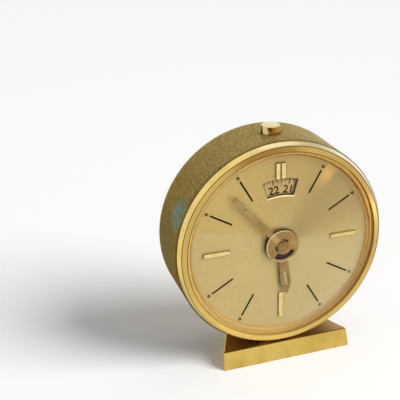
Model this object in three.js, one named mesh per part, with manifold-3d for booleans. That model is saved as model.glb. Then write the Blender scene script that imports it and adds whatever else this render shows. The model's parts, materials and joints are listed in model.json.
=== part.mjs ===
// A round travel alarm clock on a low trapezoid foot, with its eight-day movement.
// Millimetres, +Z up. The dial faces -Y and +X is to the right of someone reading it.
// The origin lies on the foot's underside, below the axis of the drum.
import * as THREE from 'three';
import * as BufferGeometryUtils from 'three/addons/utils/BufferGeometryUtils.js';
import Module from 'manifold-3d';

const wasm = await Module();
wasm.setup();

// Finishes
const POLISHED_GOLD = { color: 0xe3c46a, roughness: 0.18, metalness: 1 };
const SATIN_GOLD = { color: 0xd4b45c, roughness: 0.38, metalness: 1 };
const GRAINED_GOLD = { color: 0xa08c4c, roughness: 0.6, metalness: 0.9 };
const CHAMPAGNE = { color: 0xcdb67e, roughness: 0.35, metalness: 0.8 };
const ROSE_GOLD = { color: 0xc79a62, roughness: 0.3, metalness: 1 };
const DISC_BEIGE = { color: 0xc2a78c, roughness: 0.6, metalness: 0 };
const BRASS = { color: 0xc9a24a, roughness: 0.3, metalness: 1 };
const STEEL = { color: 0xb4b7ba, roughness: 0.25, metalness: 1 };
const BLUED_STEEL = { color: 0x30405e, roughness: 0.3, metalness: 1 };
const BLACK_STEEL = { color: 0x1b1c1e, roughness: 0.45, metalness: 0.6 };
const CLEAR = { color: 0xf4f4ee, roughness: 0.03, metalness: 0, transparent: true, opacity: 0.12 };

// Clearances
const RUNNING_GAP = 0.15;
const SLIDING_GAP = 0.25;
const SEAT_GAP = 0.15;

// Case
const BAND_RADIUS = 33.1;
const BAND_WALL = 1.5;
const BAND_DEPTH = 19.4;
const BAND_BEAD = 0.6;
const COVER_LEDGE_WIDTH = 1.6;
const COVER_LEDGE_THICKNESS = 0.8;
const BEZEL_FRONT = -11;
const BEZEL_DEPTH = 1.93;
const BEZEL_STEP = 0.25;
const BEZEL_FLARE = 0.85;
const BEZEL_LIP_WIDTH = 2.07;
const BEZEL_SKIRT_DEPTH = 1.6;
const BEZEL_SKIRT_WALL = 0.55;
const BEZEL_WALL_SLOPE = 1.43;
const CRYSTAL_THICKNESS = 0.9;
const CRYSTAL_RISE = 2.35;
const CRYSTAL_SEAT_DEPTH = 0.7;
const CRYSTAL_SEAT_WIDTH = 0.55;
const CRYSTAL_EDGE = 0.45;

// Foot
const FOOT_HEIGHT = 6.1;
const FOOT_WIDTH = 41.6;
const FOOT_DEPTH = 22;
const FOOT_TAPER = THREE.MathUtils.degToRad(23);
const FOOT_OVERHANG = 2;
const FOOT_EDGE = 0.35;
const SADDLE_DEPTH = 0.8;
const FOOT_SCREW_SPREAD = 7;
const FOOT_SCREW_Y = 1;
const FOOT_SCREW_RADIUS = 1;
const FOOT_SCREW_HEAD = 2.1;
const FOOT_SCREW_HEAD_HEIGHT = 1.3;
const FOOT_SCREW_RECESS = 0.5;
const FOOT_SCREW_REACH = 1.6;

// Dial: the marks and hands keep their distance from the edge of the visible circle
const DIAL_THICKNESS = 0.5;
const DIAL_FIT = 0.3;
const DIAL_FOOT_RADIUS = 0.6;
const DIAL_FOOT_HEADINGS = [40, 220];
const WINDOW_EDGE_DISTANCE = 7.45;
const WINDOW_HEIGHT = 4.6;
const WINDOW_HALF_ANGLE = THREE.MathUtils.degToRad(14.4);
const WINDOW_BEVEL = 0.3;
const INDEX_HEIGHT = 0.4;
const INDEX_BEVEL = 0.18;
const INDEX_WIDTH = 1.4;
const INDEX_LENGTH = 8.5;
const INDEX_EDGE_DISTANCE = 3.7;
const TWELVE_LENGTH = 4.7;
const TWELVE_EDGE_DISTANCE = 2.3;
const TWELVE_WIDTH = 1.15;
const TWELVE_SPREAD = 1.85;

// Hands
const HAND_THICKNESS = 0.3;
const HUB_RADIUS = 5.05;
const MINUTE_HEADING = THREE.MathUtils.degToRad(318);
const MINUTE_EDGE_DISTANCE = 5.5;
const MINUTE_ROOT_WIDTH = 2.15;
const MINUTE_TIP_WIDTH = 1.4;
const HOUR_HEADING = THREE.MathUtils.degToRad(173.8);
const HOUR_EDGE_DISTANCE = 11.5;
const HOUR_POINT_LENGTH = 3.3;
const HOUR_ROOT_WIDTH = 2.8;
const HOUR_SHOULDER_WIDTH = 3.4;
const SLOT_RECESS = 0.12;
const MINUTE_SLOT_WIDTH = 0.7;
const MINUTE_SLOT_LENGTH = 4.4;
const MINUTE_SLOT_TIP = 0.3;
const HOUR_SLOT_WIDTH = 1.2;
const HOUR_SLOT_LENGTH = 5.6;
const HOUR_SLOT_TIP = 2.8;
const HUB_WINDOW_INNER_RADIUS = 2.85;
const HUB_WINDOW_OUTER_RADIUS = 4.25;
const HUB_ARC_INNER_RADIUS = 1.8;
const HUB_ARC_OUTER_RADIUS = 2.4;
const BOSS_RADIUS = 1.55;
const BOSS_HEIGHT = 0.9;
const HOUR_HAND_LIFT = 0.95;
const HAND_SPACING = 0.7;

// Movement plates
const PLATE_MARGIN = 7.1;
const FRONT_PLATE_THICKNESS = 1.1;
const BACK_PLATE_THICKNESS = 1.1;
const BALANCE_SPACE = 4.68;
const RING_WIDTH = 6.4;
const RING_DEPTH = 3.85;
const PILLAR_RADIUS = 1.5;
const PILLAR_EDGE_DISTANCE = 2.7;
const PILLAR_BORE_DEPTH = 3;
const POST_BORE_DEPTH = 2;
const THREAD_END_GAP = 0.4;
const PILLAR_ANGLES = [50, 130, 285];
const SCREW_RADIUS = 0.6;
const SCREW_HEAD_RADIUS = 1.3;
const SCREW_HEAD_HEIGHT = 0.8;
const PIVOT_RADIUS = 0.4;
const PIVOT_INSET = 0.2;
const ARBOR_RADIUS = 0.5;
const PIPE_WALL = 0.4;
const STUD_RADIUS = 0.5;

// Wheels: how many teeth, and the module of each pair
const MOTION_MODULE = 0.3;
const CANNON_TEETH = 10;
const MINUTE_WHEEL_TEETH = 30;
const MINUTE_PINION_TEETH = 7;
const HOUR_WHEEL_TEETH = 28;
const SETTING_PINION_TEETH = 10;
const SETTING_RADIUS = 11;
const ALARM_WHEEL_TEETH = 35;
const ALARM_PINION_TEETH = 7;
const BARREL_MESH = 10.64;
const BARREL_TEETH = 42;
const BARREL_PINION_TEETH = 7;
const BARREL_MODULE = (2 * BARREL_MESH) / (BARREL_TEETH + BARREL_PINION_TEETH);
const INTERMEDIATE_MESH = 8;
const INTERMEDIATE_TEETH = 28;
const CENTRE_PINION_TEETH = 7;
const INTERMEDIATE_MODULE = (2 * INTERMEDIATE_MESH) / (INTERMEDIATE_TEETH + CENTRE_PINION_TEETH);
const CENTRE_MODULE = 0.27;
const CENTRE_TEETH = 48;
const THIRD_PINION_TEETH = 6;
const THIRD_MODULE = 0.27;
const THIRD_TEETH = 45;
const FOURTH_PINION_TEETH = 6;
const FOURTH_MODULE = 0.22;
const FOURTH_TEETH = 48;
const ESCAPE_PINION_TEETH = 6;
const ESCAPE_TEETH = 15;
const ESCAPE_RADIUS = 2.6;
const PINION_LIMIT = 12;
const WHEEL_THICKNESS = 0.45;
const SPOKES = 3;
const SPOKE_WIDTH = 0.8;
const SPOKE_START = 1.7;
const WHEEL_RIM = 0.7;

// Where each wheel lies between the plates, as a share of their spacing
const INTERMEDIATE_SHARE = 0.06;
const BARREL_SHARE = 0.185;
const CENTRE_SHARE = 0.385;
const THIRD_SHARE = 0.615;
const FOURTH_SHARE = 0.83;

// How far pieces lie behind the back plate, and the motion work in front of the front plate
const ESCAPE_LIFT = 0.5;
const BALANCE_LIFT = 2;
const COCK_LIFT = 3.3;
const MINUTE_WHEEL_LIFT = 1.05;
const HOUR_WHEEL_LIFT = 1.8;
const ALARM_WHEEL_LIFT = 2.9;
const ALARM_DISC_GAP = 0.3;
const ALARM_DISC_THICKNESS = 0.4;
const ALARM_DISC_LAP = 1.2;

// Barrels and keys
const BARREL_DISTANCE = 15.8;
const BARREL_ANGLE = THREE.MathUtils.degToRad(10);
const BARREL_DRUM_RADIUS = 8;
const BARREL_WALL = 0.6;
const BARREL_TOOTH_THICKNESS = 0.7;
const BARREL_END_GAP = 0.4;
const MAINSPRING_END_GAP = 0.3;
const BARREL_ARBOR_RADIUS = 1.1;
const MAINSPRING_TURNS = 3;
const MAINSPRING_STRIP = 0.3;
const KEY_GAP = 0.3;
const KEY_HUB_RADIUS = 2.2;
const KEY_HUB_LENGTH = 2.6;
const KEY_WING_SPAN = 10.5;
const KEY_WING_HEIGHT = 4.6;
const KEY_WING_THICKNESS = 1.2;
const KEY_WING_DIP = 1.6;
const KEY_WING_SEAT = 0.6;
const KEY_EDGE = 0.4;
const KNOB_RADIUS = 2.7;
const KNOB_LENGTH = 2.8;
const KNOB_FLUTES = 18;
const KNOB_FLUTE_DEPTH = 0.3;
const KNOB_EDGE = 0.35;
const SETTING_ARBOR_RADIUS = 0.55;

// Balance and alarm
const BALANCE_RADIUS = 6;
const BALANCE_RIM = 0.7;
const BALANCE_OFFSET = 7.1;
const BALANCE_STAFF_RADIUS = 0.35;
const ROLLER_RADIUS = 0.9;
const HAIRSPRING_RADIUS = 3.6;
const HAIRSPRING_STRIP = 0.12;
const HAIRSPRING_TURNS = 4;
const FORK_OFFSET = 4;
const FORK_WIDTH = 0.9;
const FORK_NOTCH = 0.4;
const PALLET_REACH = 2.15;
const COCK_THICKNESS = 0.8;
const COCK_FOOT_RADIUS = 2.3;
const COCK_ANGLE = (2 * Math.PI) / 3;
const REGULATOR_REACH = 7;
const REGULATOR_PIN_RADIUS = 0.45;
const REGULATOR_PIN_RISE = 0.6;
const REGULATOR_RING_BORE = 0.7;
const REGULATOR_RING_RADIUS = 1.5;
const REGULATOR_HEADING = (3 * Math.PI) / 4;
const REGULATOR_SWING = THREE.MathUtils.degToRad(22);
const ALARM_ESCAPE_TEETH = 12;
const ALARM_ESCAPE_RADIUS = 3.4;
const HAMMER_OFFSET = 5;
const HAMMER_ANGLE = THREE.MathUtils.degToRad(10);
const HAMMER_SWING = THREE.MathUtils.degToRad(12);
const HAMMER_HEAD_RADIUS = 1.6;
const HAMMER_ARM = 10.5;
const HAMMER_TAIL = 6;
const HAMMER_TAIL_WIDTH = 0.9;
const HAMMER_STUD_RADIUS = 1;
const HAMMER_STUD_LENGTH = 3;
const HAMMER_ARM_THICKNESS = 0.8;
const HAMMER_ARM_GAP = 0.4;
const BUTTON_RADIUS = 2.9;
const BUTTON_HEIGHT = 2.6;
const BUTTON_Y = -0.6;
const BUTTON_TRAVEL = 1.5;
const BUTTON_FLANGE_RADIUS = 3.35;
const BUTTON_FLANGE_THICKNESS = 0.8;
const BUTTON_EDGE = 0.3;
const BUTTON_STEM_RADIUS = 1;
const BUTTON_SPRING_RADIUS = 2.1;
const BUTTON_SPRING_WIRE = 0.25;
const BUTTON_SPRING_PITCH = 1.3;
const BUTTON_SPRING_CORNERS = 5;
const BUTTON_SPRING_STEPS = 28;
const BRIDGE_WIDTH = 7;
const BRIDGE_THICKNESS = 1.2;
const BRIDGE_INSET = 0.8;
const COVER_THICKNESS = 0.9;
const COVER_RECESS = 0.25;
const COVER_EDGE = 0.3;
const COVER_HOLE_GAP = 0.4;
const COVER_SLOT_GAP = 0.35;

// Roundness of the turned pieces
const CASE_STEPS = 56;
const DIAL_STEPS = 36;
const SMALL_STEPS = 12;
const BORE_STEPS = 8;
const SPIRAL_STEPS = 9;

// Levels along Y, from the front of the bezel to the back
const BEZEL_BACK = BEZEL_FRONT + BEZEL_DEPTH;
const BAND_BACK = BEZEL_BACK + BAND_DEPTH;
const DIAL_FRONT = BEZEL_BACK + 0.02;
const DIAL_BACK = DIAL_FRONT + DIAL_THICKNESS;
const RING_BACK = DIAL_BACK + RING_DEPTH;
const FRONT_PLATE_BACK = RING_BACK + FRONT_PLATE_THICKNESS;
const COVER_BACK = BAND_BACK - COVER_RECESS;
const COVER_FRONT = COVER_BACK - COVER_THICKNESS;
const BACK_PLATE_BACK = COVER_FRONT - BALANCE_SPACE;
const BACK_PLATE_FRONT = BACK_PLATE_BACK - BACK_PLATE_THICKNESS;
const PLATE_SPACING = BACK_PLATE_FRONT - FRONT_PLATE_BACK;
const CRYSTAL_SEAT = BEZEL_FRONT + CRYSTAL_SEAT_DEPTH;

const BAND_BORE = BAND_RADIUS - BAND_WALL;
const BEZEL_BACK_RADIUS = BAND_RADIUS - BEZEL_STEP;
const BEZEL_FRONT_RADIUS = BEZEL_BACK_RADIUS - BEZEL_FLARE;
const BEZEL_LIP_RADIUS = BEZEL_FRONT_RADIUS - BEZEL_LIP_WIDTH;
const SIGHT_RADIUS = BEZEL_LIP_RADIUS - BEZEL_WALL_SLOPE;
const WINDOW_OUTER_RADIUS = SIGHT_RADIUS - WINDOW_EDGE_DISTANCE;
const WINDOW_INNER_RADIUS = WINDOW_OUTER_RADIUS - WINDOW_HEIGHT;
const INDEX_OUTER_RADIUS = SIGHT_RADIUS - INDEX_EDGE_DISTANCE;
const TWELVE_OUTER_RADIUS = SIGHT_RADIUS - TWELVE_EDGE_DISTANCE;
const MINUTE_LENGTH = SIGHT_RADIUS - MINUTE_EDGE_DISTANCE;
const HOUR_LENGTH = SIGHT_RADIUS - HOUR_EDGE_DISTANCE;
const PLATE_RADIUS = BAND_RADIUS - PLATE_MARGIN;
const PILLAR_CIRCLE_RADIUS = PLATE_RADIUS - PILLAR_EDGE_DISTANCE;
const DIAL_RADIUS = BAND_BORE - SEAT_GAP - BEZEL_SKIRT_WALL - DIAL_FIT;
const AXIS_HEIGHT = FOOT_HEIGHT - SADDLE_DEPTH + SEAT_GAP + BAND_RADIUS;

// A closed geometry as a solid that can be joined and cut
function toSolid(geometry) {
  const bare = geometry.clone();
  bare.deleteAttribute('normal');
  bare.deleteAttribute('uv');
  const merged = BufferGeometryUtils.mergeVertices(bare, 1e-4);
  const mesh = new wasm.Mesh({
    numProp: 3,
    vertProperties: new Float32Array(merged.attributes.position.array),
    triVerts: new Uint32Array(merged.index.array),
  });
  return new wasm.Manifold(mesh);
}

// A solid back as a geometry with flat facets
function toGeometry(solid) {
  const mesh = solid.getMesh();
  const geometry = new THREE.BufferGeometry();
  geometry.setAttribute('position', new THREE.BufferAttribute(mesh.vertProperties, 3));
  geometry.setIndex(new THREE.BufferAttribute(mesh.triVerts, 1));
  geometry.computeVertexNormals();
  return geometry;
}

function join(...geometries) {
  const solids = geometries.map(toSolid);
  return toGeometry(solids.reduce((all, next) => all.add(next)));
}

function cut(body, ...tools) {
  const solids = tools.map(toSolid);
  return toGeometry(solids.reduce((rest, tool) => rest.subtract(tool), toSolid(body)));
}

// A profile of [radius, y] points turned about the Y axis
function turned(profile, steps = SMALL_STEPS, x = 0, z = 0) {
  const points = profile.map(([radius, y]) => new THREE.Vector2(radius, y));
  const geometry = new THREE.LatheGeometry(points, steps);
  return geometry.translate(x, 0, z);
}

// A plain cylinder along Y between two levels
function rod(radius, front, back, x = 0, z = 0, steps = BORE_STEPS) {
  const profile = [[0, front], [radius, front], [radius, back], [0, back]];
  return turned(profile, steps, x, z);
}

// A tube along Y between two levels
function tube(inner, outer, front, back, x = 0, z = 0, steps = SMALL_STEPS) {
  const profile = [[inner, front], [outer, front], [outer, back], [inner, back], [inner, front]];
  return turned(profile, steps, x, z);
}

// An outline drawn as seen from the dial side, with its thickness along Y
function sheet(shape, front, back, curveSegments = 8) {
  const options = { depth: back - front, bevelEnabled: false, curveSegments };
  return new THREE.ExtrudeGeometry(shape, options).rotateX(Math.PI / 2).translate(0, back, 0);
}

function polygon(points) {
  return new THREE.Shape(points.map(([x, z]) => new THREE.Vector2(x, z)));
}

function disc(radius, x = 0, z = 0) {
  return new THREE.Shape().absarc(x, z, radius, 0, 2 * Math.PI, false);
}

function polar(radius, angle) {
  return [radius * Math.cos(angle), radius * Math.sin(angle)];
}

// A point at a radius and a clock heading, clockwise from twelve
function atHeading(radius, heading) {
  return [radius * Math.sin(heading), radius * Math.cos(heading)];
}

// A band between two radii and two clock headings, with its ends rounded off or square
function sectorPoints(inner, outer, from, to, steps) {
  const points = [];
  for (let i = 0; i <= steps; i += 1) {
    points.push(atHeading(outer, from + ((to - from) * i) / steps));
  }
  for (let i = steps; i >= 0; i -= 1) {
    points.push(atHeading(inner, from + ((to - from) * i) / steps));
  }
  return points;
}

// Gear outlines: pinions have square leaves and wheels have pointed teeth, both thinned
// so that a pair runs with backlash
function gearShape(teeth, module, phase = 0) {
  const pitch = (teeth * module) / 2;
  const root = pitch - 1.2 * module;
  const tip = pitch + 0.75 * module;
  const step = (2 * Math.PI) / teeth;
  const pinion = teeth <= PINION_LIMIT;
  const points = [];
  for (let i = 0; i < teeth; i += 1) {
    const centre = phase + i * step;
    if (pinion) {
      points.push(polar(root, centre - 0.22 * step));
      points.push(polar(tip, centre - 0.1 * step));
      points.push(polar(tip, centre + 0.1 * step));
      points.push(polar(root, centre + 0.22 * step));
    } else {
      points.push(polar(root, centre - step / 2));
      points.push(polar(tip, centre));
    }
  }
  return polygon(points);
}

// The phase that puts a driven gear in mesh with the one that drives it
function meshPhase(driverTeeth, driverPhase, drivenTeeth, direction) {
  const step = (2 * Math.PI) / driverTeeth;
  const fraction = (direction - driverPhase) / step;
  return direction + Math.PI - ((0.5 - fraction) * 2 * Math.PI) / drivenTeeth;
}

function pitchDistance(module, teethA, teethB) {
  return (module * (teethA + teethB)) / 2;
}

function offset(from, distance, angle) {
  return [from[0] + distance * Math.cos(angle), from[1] + distance * Math.sin(angle)];
}

function angleTo(from, to) {
  return Math.atan2(to[1] - from[1], to[0] - from[0]);
}

// The third corner of a triangle over two known ones, on the left of the way from a to b
function apex(a, b, fromA, fromB) {
  const base = Math.hypot(b[0] - a[0], b[1] - a[1]);
  const along = (fromA * fromA - fromB * fromB + base * base) / (2 * base);
  return offset(a, fromA, angleTo(a, b) + Math.acos(along / fromA));
}

// Places of the arbors, seen from the dial side
const CENTRE = [0, 0];
const motionDistance = pitchDistance(MOTION_MODULE, CANNON_TEETH, MINUTE_WHEEL_TEETH);
const HAND_SETTING = offset(CENTRE, SETTING_RADIUS, -Math.PI / 4);
const ALARM_SETTING = offset(CENTRE, SETTING_RADIUS, (-3 * Math.PI) / 4);
const settingDistance = pitchDistance(MOTION_MODULE, MINUTE_WHEEL_TEETH, SETTING_PINION_TEETH);
const MINUTE_STUD = apex(CENTRE, HAND_SETTING, motionDistance, settingDistance);
const ALARM_MODULE = (2 * SETTING_RADIUS) / (ALARM_WHEEL_TEETH + ALARM_PINION_TEETH);
const HOUR_MODULE = (2 * motionDistance) / (MINUTE_PINION_TEETH + HOUR_WHEEL_TEETH);
const TIME_BARREL = offset(CENTRE, BARREL_DISTANCE, BARREL_ANGLE);
const ALARM_BARREL = offset(CENTRE, BARREL_DISTANCE, Math.PI - BARREL_ANGLE);
const INTERMEDIATE = apex(CENTRE, TIME_BARREL, INTERMEDIATE_MESH, BARREL_MESH);
const thirdDistance = pitchDistance(CENTRE_MODULE, CENTRE_TEETH, THIRD_PINION_TEETH);
const THIRD = offset(CENTRE, thirdDistance, -Math.PI / 2);
const fourthDistance = pitchDistance(THIRD_MODULE, THIRD_TEETH, FOURTH_PINION_TEETH);
const FOURTH = offset(THIRD, fourthDistance, -Math.PI / 2);
const escapeDistance = pitchDistance(FOURTH_MODULE, FOURTH_TEETH, ESCAPE_PINION_TEETH);
const ESCAPE = offset(FOURTH, escapeDistance, Math.PI);
const FORK = offset(ESCAPE, FORK_OFFSET, Math.PI);
const BALANCE = offset(ESCAPE, BALANCE_OFFSET, Math.PI);
const ALARM_ESCAPE = offset(ALARM_BARREL, BARREL_MESH, Math.PI / 3);
const HAMMER = offset(ALARM_ESCAPE, HAMMER_OFFSET, HAMMER_ANGLE);

// Levels of the pivots and of the wheels between the plates
const PIVOT_FRONT = RING_BACK + PIVOT_INSET;
const PIVOT_BACK = BACK_PLATE_BACK - PIVOT_INSET;
const INTERMEDIATE_LEVEL = FRONT_PLATE_BACK + INTERMEDIATE_SHARE * PLATE_SPACING;
const BARREL_LEVEL = FRONT_PLATE_BACK + BARREL_SHARE * PLATE_SPACING;
const CENTRE_LEVEL = FRONT_PLATE_BACK + CENTRE_SHARE * PLATE_SPACING;
const THIRD_LEVEL = FRONT_PLATE_BACK + THIRD_SHARE * PLATE_SPACING;
const FOURTH_LEVEL = FRONT_PLATE_BACK + FOURTH_SHARE * PLATE_SPACING;
const ESCAPE_LEVEL = BACK_PLATE_BACK + ESCAPE_LIFT;
const BALANCE_LEVEL = BACK_PLATE_BACK + BALANCE_LIFT;
const COCK_LEVEL = BACK_PLATE_BACK + COCK_LIFT;

// Levels of the motion work in front of the front plate
const MINUTE_WHEEL_LEVEL = RING_BACK - MINUTE_WHEEL_LIFT;
const HOUR_WHEEL_LEVEL = RING_BACK - HOUR_WHEEL_LIFT;
const ALARM_WHEEL_LEVEL = RING_BACK - ALARM_WHEEL_LIFT;
const ALARM_DISC_FRONT = DIAL_BACK + ALARM_DISC_GAP;
const HOUR_HAND_FRONT = DIAL_FRONT - HOUR_HAND_LIFT;
const MINUTE_HAND_FRONT = HOUR_HAND_FRONT - HAND_SPACING;

const CANNON_BORE = ARBOR_RADIUS + SLIDING_GAP;
const CANNON_RADIUS = CANNON_BORE + PIPE_WALL;
const HOUR_PIPE_BORE = CANNON_RADIUS + SLIDING_GAP;
const HOUR_PIPE_RADIUS = HOUR_PIPE_BORE + PIPE_WALL;
const ALARM_PIPE_BORE = HOUR_PIPE_RADIUS + SLIDING_GAP;
const ALARM_PIPE_RADIUS = ALARM_PIPE_BORE + 2 * PIPE_WALL;

const clock = new THREE.Group();
const drum = new THREE.Group();
drum.position.z = AXIS_HEIGHT;
clock.add(drum);

function addPiece(name, geometry, finish, parent = drum) {
  const mesh = new THREE.Mesh(geometry, new THREE.MeshStandardMaterial(finish));
  mesh.name = name;
  parent.add(mesh);
  return mesh;
}

// A group on one arbor, so that its pieces are drawn about their own axis
function arborGroup([x, z], heading = 0) {
  const group = new THREE.Group();
  group.position.set(x, 0, z);
  group.rotation.y = heading;
  drum.add(group);
  return group;
}

// A turned screw along Y with a cheese head at its back end
function screwGeometry(tip, seat) {
  const top = seat + SCREW_HEAD_HEIGHT;
  return turned([
    [0, tip],
    [SCREW_RADIUS, tip],
    [SCREW_RADIUS, seat],
    [SCREW_HEAD_RADIUS, seat],
    [SCREW_HEAD_RADIUS, top],
    [0, top],
  ], 10);
}

// Case band: a tube with a ledge for the cover and a rear bead
function addBand() {
  const coverLedge = BAND_BORE - COVER_LEDGE_WIDTH;
  const beadSteps = 2;
  const profile = [
    [BAND_BORE, BEZEL_BACK],
    [BAND_RADIUS, BEZEL_BACK],
  ];
  for (let i = 0; i <= beadSteps; i += 1) {
    const turn = (i / beadSteps) * (Math.PI / 2);
    const radius = BAND_RADIUS - BAND_BEAD + BAND_BEAD * Math.cos(turn);
    profile.push([radius, BAND_BACK - BAND_BEAD + BAND_BEAD * Math.sin(turn)]);
  }
  profile.push(
    [BAND_BORE, BAND_BACK],
    [BAND_BORE, COVER_FRONT],
    [coverLedge, COVER_FRONT],
    [coverLedge, COVER_FRONT - COVER_LEDGE_THICKNESS],
    [BAND_BORE, COVER_FRONT - COVER_LEDGE_THICKNESS],
    [BAND_BORE, BEZEL_BACK],
  );
  const holes = [];
  const buttonHole = new THREE.CylinderGeometry(
    BUTTON_RADIUS + RUNNING_GAP, BUTTON_RADIUS + RUNNING_GAP, BAND_RADIUS, 24);
  holes.push(buttonHole.rotateX(Math.PI / 2).translate(0, BUTTON_Y, BAND_RADIUS));
  for (const side of [-1, 1]) {
    const hole = new THREE.CylinderGeometry(
      FOOT_SCREW_RADIUS + RUNNING_GAP, FOOT_SCREW_RADIUS + RUNNING_GAP, BAND_RADIUS / 2, BORE_STEPS);
    hole.rotateX(Math.PI / 2);
    holes.push(hole.translate(side * FOOT_SCREW_SPREAD, FOOT_SCREW_Y, -BAND_RADIUS));
  }
  addPiece('case_band', cut(turned(profile, CASE_STEPS), ...holes), GRAINED_GOLD);
}

// Bezel: a flared ring with a seat for the crystal, a conical inner wall and a skirt
function addBezel() {
  const skirt = BAND_BORE - SEAT_GAP;
  const skirtBack = BEZEL_BACK + BEZEL_SKIRT_DEPTH;
  const lip = BEZEL_LIP_RADIUS;
  const edge = 0.12;
  const profile = [
    [lip, BEZEL_FRONT],
    [BEZEL_FRONT_RADIUS, BEZEL_FRONT],
    [BEZEL_BACK_RADIUS, BEZEL_BACK],
    [skirt, BEZEL_BACK],
    [skirt, skirtBack],
    [skirt - BEZEL_SKIRT_WALL, skirtBack],
    [skirt - BEZEL_SKIRT_WALL, DIAL_FRONT],
    [SIGHT_RADIUS, DIAL_FRONT],
    [SIGHT_RADIUS, DIAL_FRONT - edge],
    [lip - CRYSTAL_SEAT_WIDTH, CRYSTAL_SEAT],
    [lip, CRYSTAL_SEAT],
    [lip, BEZEL_FRONT],
  ];
  addPiece('bezel', turned(profile, CASE_STEPS), POLISHED_GOLD);
}

// Crystal: a shallow dome of even thickness whose rim sits on the bezel's seat
function addCrystal() {
  const rim = BEZEL_LIP_RADIUS - SLIDING_GAP;
  const bore = rim - CRYSTAL_THICKNESS;
  const arcSteps = 3;
  const profile = [];
  for (let i = 0; i <= arcSteps; i += 1) {
    const share = i / arcSteps;
    const y = CRYSTAL_SEAT - CRYSTAL_EDGE - CRYSTAL_RISE * (1 - share * share);
    profile.push([rim * share, y]);
  }
  profile.push([rim, CRYSTAL_SEAT], [bore, CRYSTAL_SEAT]);
  for (let i = arcSteps - 1; i >= 0; i -= 1) {
    const share = i / arcSteps;
    const y = CRYSTAL_SEAT - CRYSTAL_EDGE - CRYSTAL_RISE * (1 - share * share) + CRYSTAL_THICKNESS;
    profile.push([bore * share, Math.min(y, CRYSTAL_SEAT)]);
  }
  addPiece('crystal', turned(profile, DIAL_STEPS), CLEAR);
}

// Dial plate with its bevelled alarm window, the hole for the pipes and two feet
function addDial() {
  const plate = sheet(disc(DIAL_RADIUS), DIAL_FRONT, DIAL_BACK, DIAL_STEPS / 2);
  const steps = 8;
  const points = sectorPoints(
    WINDOW_INNER_RADIUS, WINDOW_OUTER_RADIUS, -WINDOW_HALF_ANGLE, WINDOW_HALF_ANGLE, steps);
  const window = sheet(polygon(points), DIAL_FRONT - 0.5, DIAL_BACK + 0.5);
  const bore = rod(HOUR_PIPE_RADIUS + SLIDING_GAP, DIAL_FRONT - 1, DIAL_BACK + 1, 0, 0, SMALL_STEPS);
  const feet = DIAL_FOOT_HEADINGS.map((degrees) => {
    const [x, z] = atHeading(dialFootCircle(), THREE.MathUtils.degToRad(degrees));
    return rod(DIAL_FOOT_RADIUS, DIAL_BACK - DIAL_THICKNESS / 2, DIAL_BACK + RING_DEPTH / 2, x, z);
  });
  addPiece('dial_plate', join(cut(plate, window, windowBevel(), bore), ...feet), CHAMPAGNE);
}

function dialFootCircle() {
  return DIAL_RADIUS - RING_WIDTH / 2;
}

// The wedge that opens the window towards the front
function windowBevel() {
  const steps = 8;
  const wide = WINDOW_BEVEL;
  const inner = WINDOW_INNER_RADIUS;
  const outer = WINDOW_OUTER_RADIUS;
  const half = WINDOW_HALF_ANGLE;
  const back = sectorPoints(inner, outer, -half, half, steps);
  const spread = half + wide / ((inner + outer) / 2);
  const front = sectorPoints(inner - wide, outer + wide, -spread, spread, steps);
  const geometry = sheet(polygon(back), DIAL_FRONT, DIAL_FRONT + WINDOW_BEVEL);
  const position = geometry.attributes.position;
  for (let i = 0; i < position.count; i += 1) {
    if (position.getY(i) > DIAL_FRONT + WINDOW_BEVEL / 2) {
      continue;
    }
    const place = [position.getX(i), position.getZ(i)];
    const k = back.findIndex(([x, z]) => Math.hypot(x - place[0], z - place[1]) < 1e-4);
    position.setXYZ(i, front[k][0], DIAL_FRONT, front[k][1]);
  }
  return geometry;
}

// A raised index: a bar with bevelled edges standing on the dial
function indexGeometry(width, length, outer) {
  const inner = outer - length;
  const half = width / 2 - INDEX_BEVEL;
  const shape = polygon([
    [-half, inner + INDEX_BEVEL],
    [half, inner + INDEX_BEVEL],
    [half, outer - INDEX_BEVEL],
    [-half, outer - INDEX_BEVEL],
  ]);
  const options = {
    depth: INDEX_HEIGHT - INDEX_BEVEL,
    bevelThickness: INDEX_BEVEL,
    bevelSize: INDEX_BEVEL,
    bevelSegments: 1,
  };
  const bar = new THREE.ExtrudeGeometry(shape, options).rotateX(Math.PI / 2);
  bar.translate(0, DIAL_FRONT, 0);
  const below = new THREE.BoxGeometry(4 * width, 2, 4 * outer).translate(0, DIAL_FRONT + 1, 0);
  return cut(bar, below);
}

function addIndexes() {
  for (const hour of [3, 6, 9]) {
    const index = indexGeometry(INDEX_WIDTH, INDEX_LENGTH, INDEX_OUTER_RADIUS);
    const mesh = addPiece(`index_${hour}`, index, POLISHED_GOLD);
    mesh.rotation.y = (hour / 12) * 2 * Math.PI;
  }
  for (const [side, name] of [[-1, 'index_12_left'], [1, 'index_12_right']]) {
    const index = indexGeometry(TWELVE_WIDTH, TWELVE_LENGTH, TWELVE_OUTER_RADIUS);
    const mesh = addPiece(name, index, POLISHED_GOLD);
    mesh.position.x = (side * TWELVE_SPREAD) / 2;
  }
}

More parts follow.
